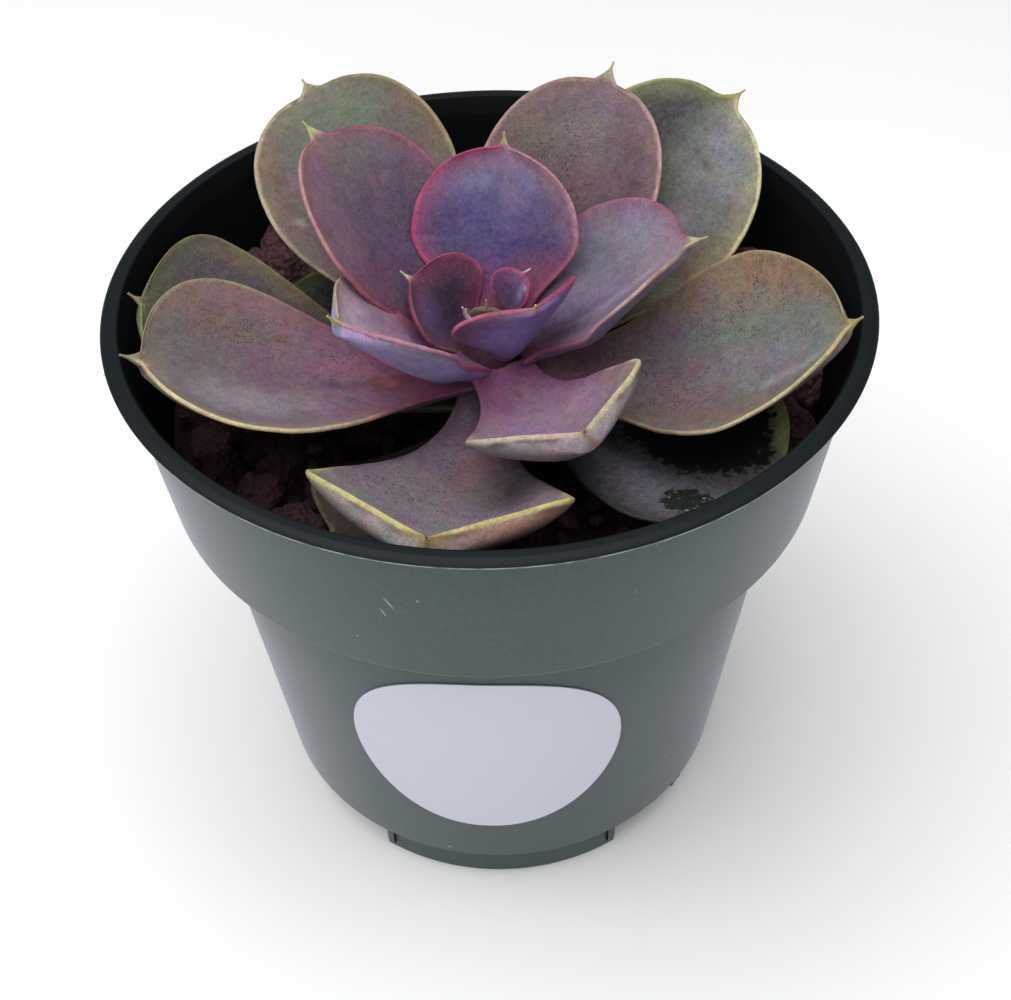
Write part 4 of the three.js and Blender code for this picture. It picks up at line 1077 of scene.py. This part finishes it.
def shape_leaf(leaf, margin):
    """The points of a leaf in millimetres, in rings from its foot to its tip. With them go, for each point,
    its place along and across the leaf, its distance from the tip, how much it faces up (1) or down (0), and
    its distance from the margin, and for each ring, its direction up and half its width."""
    total = leaf["length"] + leaf["point"]
    count, columns = (40, 18) if leaf["length"] < 20 else (84, 40)
    x = total * (1 - (1 - np.linspace(0, 1, count)) ** 1.35)
    points, across, up, share = midline(leaf, x)
    wide = half_width(leaf, x)
    bow = math.radians(leaf["cup"]) * (0.4 + 0.6 * np.minimum(share / 0.55, 1))
    slim = leaf["thickness"] * (1 - (1 - leaf["end"]) * (1 - np.cos(math.pi * np.minimum(share, 1))) / 2)
    deepest = np.maximum(np.minimum(slim, 1 + wide * 0.55) - 1, 0)
    v_upper = np.sin(np.linspace(-1, 1, columns) * math.pi / 2)
    v_lower = v_upper[::-1]
    tuck = math.pi / 2 if leaf["flat"] < 0.6 else math.pi
    cap = np.linspace(0, tuck, 7)[1:-1]
    inner = np.maximum(wide - margin, 0.03)
    edge = margin * np.clip(0.3 + wide / 2.2, 0.3, 1)
    rings, skin = [], []
    for i in range(count):
        (side_u, lift_u), (side_l, lift_l), (side_e, lift_e) = (
            leaf_section(v, inner[i], bow[i], leaf["fold"]) for v in (v_upper, v_lower, np.array([1.0]))
        )
        depth = (1 - math.cos(tuck)) * edge[i] + deepest[i] * (1 - v_lower * v_lower) ** leaf["flat"]
        out = edge[i] * np.sin(cap)
        low = edge[i] * (1 - np.cos(cap))
        side_l = side_l * (1 + edge[i] * math.sin(tuck) / max(side_e[0], edge[i]))
        ring = np.concatenate([
            np.stack([side_u, lift_u, v_upper, 0 * v_upper + 1], 1),
            np.stack([side_e[0] + out, lift_e[0] - low, 0 * cap + 1, 0.5 + 0.5 * np.cos(cap)], 1),
            np.stack([side_l, lift_l - depth, v_lower, 0 * v_lower], 1),
            np.stack([-side_e[0] - out, lift_e[0] - low, 0 * cap - 1, 0.5 + 0.5 * np.cos(cap)], 1)[::-1],
        ])
        rings.append(points[i] + across[i] * ring[:, :1] + up[i] * ring[:, 1:2])
        tip = np.hypot(total - x[i], ring[:, 0])
        skin.append(np.stack([np.full(len(ring), share[i]), ring[:, 2], tip, ring[:, 3]], 1))
    co = np.vstack(rings)
    edges = np.array([ring[[columns + 1, len(ring) - 2]] for ring in rings]).reshape(-1, 3)
    rim = np.sqrt(((co[:, None] - edges[None]) ** 2).sum(2)).min(1)
    return co, (*np.vstack(skin).T, rim), (up, wide)


def leaf_waves(points, index):
    """Random waves over the points of a leaf, other ones for each leaf: the swellings, two waves that make
    its pattern uneven, and the drift of its red, green and blue."""
    swell, ripple, warp, drift = [], [], [], []
    for point in points:
        spot = Vector(point) + Vector((index * 9.1, 0, 0))
        swell.append(noise.noise(spot / 7) + 0.3 * noise.noise(spot / 2.2))
        ripple.append(noise.fractal(spot / 5, 0.8, 2.2, 3))
        warp.append(noise.fractal((spot + Vector((0, 50, 0))) / 2.6, 0.8, 2.2, 3))
        drift.append(noise.noise_vector(spot / 4) + 0.6 * noise.noise_vector(spot / 1.7))
    return np.array(swell), np.array(ripple), np.array(warp), np.array(drift)


def ring_faces(count, size):
    """The faces of a closed body made of rings of points, with its two ends."""
    faces = []
    for i in range(count - 1):
        for j in range(size):
            a, b = i * size + j, i * size + (j + 1) % size
            faces.append((a, a + size, b + size, b))
    last = count * size - 1
    return [*faces, tuple(range(size)), tuple(range(last, last - size, -1))]


def make_leaf(name, leaf, look, index, settings):
    """A fleshy leaf as a closed mesh with a round margin, coloured point by point. Its leaf_skin says how
    much bloom, how many pores and how wet it is, and the alpha of its colour how much painted shadow it has."""
    co, (along, across, tip, face, rim), (up, wide) = shape_leaf(leaf, settings.margin / MM)
    swell, ripple, warp, drift = leaf_waves(co, index)
    count = len(wide)
    size = len(co) // count
    ring_of = np.repeat(np.arange(count), size)
    co += up[ring_of] * (settings.swelling / MM * swell * np.minimum(1, wide[ring_of] / 4))[:, None]
    mesh = bpy.data.meshes.new(name)
    mesh.from_pydata((co * MM).tolist(), [], ring_faces(count, size))
    colours = tint_leaf(look, along, across, rim, tip / leaf["point"], face, ripple, warp)
    calm = fade(rim, 0.4, 2.2)
    colours[:, :3] *= settings.shade * (1 + settings.drift * drift * (0.3 + 0.7 * calm)[:, None])
    # The alpha carries the share of the painted shadow
    wet, colours[:, 3] = (
        spot_share(along, across, look[spot]) * (face > 0.5) if look[spot] else 0 * along
        for spot in ("wet", "stain")
    )
    dots = 0.6 * look["speckles"]
    for *where, strength in look["dots"]:
        dots = dots + strength * spot_share(along, across, where)
    skin = np.stack([look["bloom"] * calm, dots * fade(rim, 0.2, 1.0) * (0.4 + 0.6 * face), wet], 1)
    for key, kind, field, values in (
        ("leaf_tint", "FLOAT_COLOR", "color", colours),
        ("leaf_skin", "FLOAT_VECTOR", "vector", skin),
    ):
        attribute = mesh.attributes.new(key, kind, "POINT")
        attribute.data.foreach_set(field, values.astype(np.float32).ravel())
    mesh.update()
    mesh.shade_smooth()
    return new_piece(name, mesh)


# The layers of pores, from fine to coarse: their spacing in millimetres, the width of a pore as a share of
# it, and the range of a random number over which a pore comes out faint to full
PORES = ((0.42, 0.38, 0.2, 0.6), (0.8, 0.23, 0.3, 0.8), (2.2, 0.11, 0.3, 0.6))


def leaf_skin(settings):
    """Living epidermis under a powdery wax bloom: soft, a little translucent, mottled, with dark pores in
    loose clusters, darker where water stands, with small painted glints there, and a painted shadow where
    the alpha of its colour says so."""
    material, tree = new_material("Waxy leaf skin")
    where = add(tree, "ShaderNodeTexCoord").outputs["Object"]
    tint = add(tree, "ShaderNodeAttribute", attribute_name="leaf_tint").outputs
    colour = tint["Color"]
    skin = add(tree, "ShaderNodeAttribute", attribute_name="leaf_skin").outputs["Vector"]
    bloom, pores, damp = add(tree, "ShaderNodeSeparateXYZ", {0: skin}).outputs
    cluster, blotch, mottle, powder, grain = (
        add(tree, "ShaderNodeTexNoise", {"Vector": where, "Scale": 1 / (size * MM), "Detail": detail,
                                         "Roughness": 0.65})
        for size, detail in ((4, 3), (3, 4), (1.3, 5), (0.8, 5), (0.3, 3))
    )
    for source, low, high in ((mottle, 0.82, 1.18), (grain, 0.74, 1.26)):
        tone = add(tree, "ShaderNodeMapRange", {"Value": source, "From Min": 0.3, "From Max": 0.7,
                                                "To Min": low, "To Max": high})
        colour = add(tree, "ShaderNodeMix", {"Factor": 1.0, 6: colour, 7: tone}, data_type="RGBA",
                     blend_type="MULTIPLY")
    for source, share in ((blotch, 0.09), (mottle, 0.15)):
        hues = source.outputs["Color"]
        colour = add(tree, "ShaderNodeMix", {"Factor": share, 6: colour, 7: hues}, data_type="RGBA",
                     blend_type="OVERLAY")

    def ragged(field, spread, low, high):
        """The mask of a field whose outline is broken up by the mottle."""
        noisy = add(tree, "ShaderNodeMath", {0: mottle, 1: spread, 2: -0.5 * spread},
                    operation="MULTIPLY_ADD")
        noisy = add(tree, "ShaderNodeMath", {0: field, 1: noisy}, operation="ADD")
        return add(tree, "ShaderNodeMapRange", {"Value": noisy, "From Min": low, "From Max": high})

    wet = ragged(damp, 1.6, 0.55, 0.68)
    # Painted shadow: the near-black spot, its outline broken up by the mottle
    stain = ragged(tint["Alpha"], 0.9, 0.33, 0.43)
    drift = add(tree, "ShaderNodeMapRange", {"Value": powder, "From Min": 0.4, "From Max": 0.9})
    haze = add(tree, "ShaderNodeMath", {0: drift, 1: bloom}, operation="MULTIPLY")
    crowd = add(tree, "ShaderNodeMapRange", {"Value": cluster, "From Min": 0.38, "From Max": 0.58,
                                             "To Min": 0.15})
    reach = add(tree, "ShaderNodeMath", {0: crowd, 1: pores}, operation="MULTIPLY")
    dark = 0.0
    for size, width, least, most in PORES:
        cells = add(tree, "ShaderNodeTexVoronoi", {"Vector": where, "Scale": 1 / (size * MM)}).outputs
        dot = add(tree, "ShaderNodeMapRange", {"Value": cells["Distance"], "From Min": width,
                                               "From Max": 0.5 * width})
        chance = add(tree, "ShaderNodeSeparateXYZ", {0: cells["Color"]}).outputs["X"]
        chance = add(tree, "ShaderNodeMapRange", {"Value": chance, "From Min": least, "From Max": most})
        dot = add(tree, "ShaderNodeMath", {0: dot, 1: chance}, operation="MULTIPLY")
        dark = add(tree, "ShaderNodeMath", {0: dot, 1: dark}, operation="MAXIMUM")
    dark = add(tree, "ShaderNodeMath", {0: dark, 1: reach}, operation="MULTIPLY")
    cells = add(tree, "ShaderNodeTexVoronoi", {"Vector": where, "Scale": 1 / (0.9 * MM)}).outputs
    glint = add(tree, "ShaderNodeMapRange", {"Value": cells["Distance"], "From Min": 0.16, "From Max": 0.08,
                                             "To Max": 0.16})
    # Painted highlights: pale glints painted on the wet skin
    painted_glint = add(tree, "ShaderNodeMapRange", {"Value": powder, "From Min": 0.6, "From Max": 0.66})
    painted_glint = add(tree, "ShaderNodeMath", {0: painted_glint, 1: wet}, operation="MULTIPLY")
    for mask, paint in ((haze, settings.bloom), (dark, settings.pores), (glint, settings.bloom),
                        (stain, settings.stain), (wet, settings.wet), (painted_glint, settings.glints)):
        colour = add(tree, "ShaderNodeMix", {"Factor": mask, 6: colour, 7: tuple(paint)}, data_type="RGBA")
    height = add(tree, "ShaderNodeMath", {0: powder, 1: grain}, operation="ADD")
    height = add(tree, "ShaderNodeMath", {0: height, 1: dark}, operation="SUBTRACT")
    bump = add(tree, "ShaderNodeBump", {"Height": height, "Strength": 0.35, "Distance": 0.14 * MM})
    drops = add(tree, "ShaderNodeMath", {0: powder, 1: wet}, operation="MULTIPLY")
    bump = add(tree, "ShaderNodeBump", {"Height": drops, "Normal": bump, "Strength": 1.0,
                                        "Distance": 1 * MM})
    rough = add(tree, "ShaderNodeMapRange", {"Value": powder, "To Min": 0.5, "To Max": 0.7})
    rough = add(tree, "ShaderNodeMix", {"Factor": wet, 2: rough, 3: 0.3})
    gloss = add(tree, "ShaderNodeMapRange", {"Value": wet, "To Min": 0.4, "To Max": 0.15})
    shader = add(tree, "ShaderNodeBsdfPrincipled", {
        "Base Color": colour, "Roughness": rough, "Normal": bump, "IOR": 1.4, "Specular IOR Level": gloss,
        "Subsurface Weight": 0.1, "Subsurface Radius": (1.0, 0.5, 0.4), "Subsurface Scale": 1.0 * MM,
        "Sheen Weight": 0.08, "Sheen Roughness": 0.5, "Sheen Tint": tuple(settings.sheen),
    })
    add(tree, "ShaderNodeOutputMaterial", {"Surface": shader})
    return material


def read_row(ordinary, fields, row):
    """What a row says about a leaf, by name, over what an ordinary leaf has."""
    return {**ordinary, **dict(zip(fields, row)), **row[-1]}


class ECHEVERIA_OT_leaves(Operator):
    """Grows the leaves of the rosette, from the outermost to the heart"""
    bl_idname = "echeveria.leaves"
    bl_label = "Leaves"

    def execute(self, context):
        settings = context.scene.echeveria_leaves
        noise.seed_set(DRIFT_SEED)
        material = leaf_skin(settings)
        slots = ["outer_leaf"] * 6 + ["middle_leaf"] * 7 + ["inner_leaf"] * 7
        for i, (shape_row, look_row, slot) in enumerate(zip(LEAVES, LEAF_LOOKS, slots)):
            leaf = read_row(ORDINARY_LEAF, LEAF_FIELDS, shape_row)
            look = read_row(ORDINARY_LOOK, LOOK_FIELDS, look_row)
            piece = make_leaf(f"echeveria_leaf_{i + 1:02d}", leaf, look, i, settings)
            place(piece, [material], slot, f"leaf_{i + 1:02d}")
        return {"FINISHED"}


class ECHEVERIA_PT_panel(Panel):
    """Lists the pieces of the potted echeveria"""
    bl_idname = "ECHEVERIA_PT_panel"
    bl_label = "Potted echeveria"
    bl_space_type = "VIEW_3D"
    bl_region_type = "UI"
    bl_category = "Echeveria"

    def draw(self, context):
        for operator in OPERATORS:
            self.layout.operator(operator.bl_idname)


SETTINGS = {
    "echeveria_pot": PotSettings,
    "echeveria_label": LabelSettings,
    "echeveria_gravel": GravelSettings,
    "echeveria_filling": FillingSettings,
    "echeveria_stem": StemSettings,
    "echeveria_leaves": LeafSettings,
    "echeveria_stage": StageSettings,
}
OPERATORS = (
    ECHEVERIA_OT_stage, ECHEVERIA_OT_pot, ECHEVERIA_OT_label, ECHEVERIA_OT_filling, ECHEVERIA_OT_gravel,
    ECHEVERIA_OT_stem, ECHEVERIA_OT_leaves,
)


def register():
    for cls in (*SETTINGS.values(), *OPERATORS, ECHEVERIA_PT_panel):
        bpy.utils.register_class(cls)
    for name, cls in SETTINGS.items():
        setattr(bpy.types.Scene, name, PointerProperty(type=cls))


def unregister():
    for name in SETTINGS:
        delattr(bpy.types.Scene, name)
    for cls in (ECHEVERIA_PT_panel, *reversed(OPERATORS), *reversed(SETTINGS.values())):
        bpy.utils.unregister_class(cls)


def main():
    register()
    bpy.ops.echeveria.stage()
    bpy.ops.echeveria.pot()
    bpy.ops.echeveria.label()
    bpy.ops.echeveria.filling()
    bpy.ops.echeveria.gravel()
    bpy.ops.echeveria.stem()
    bpy.ops.echeveria.leaves()


if __name__ == "__main__":
    main()
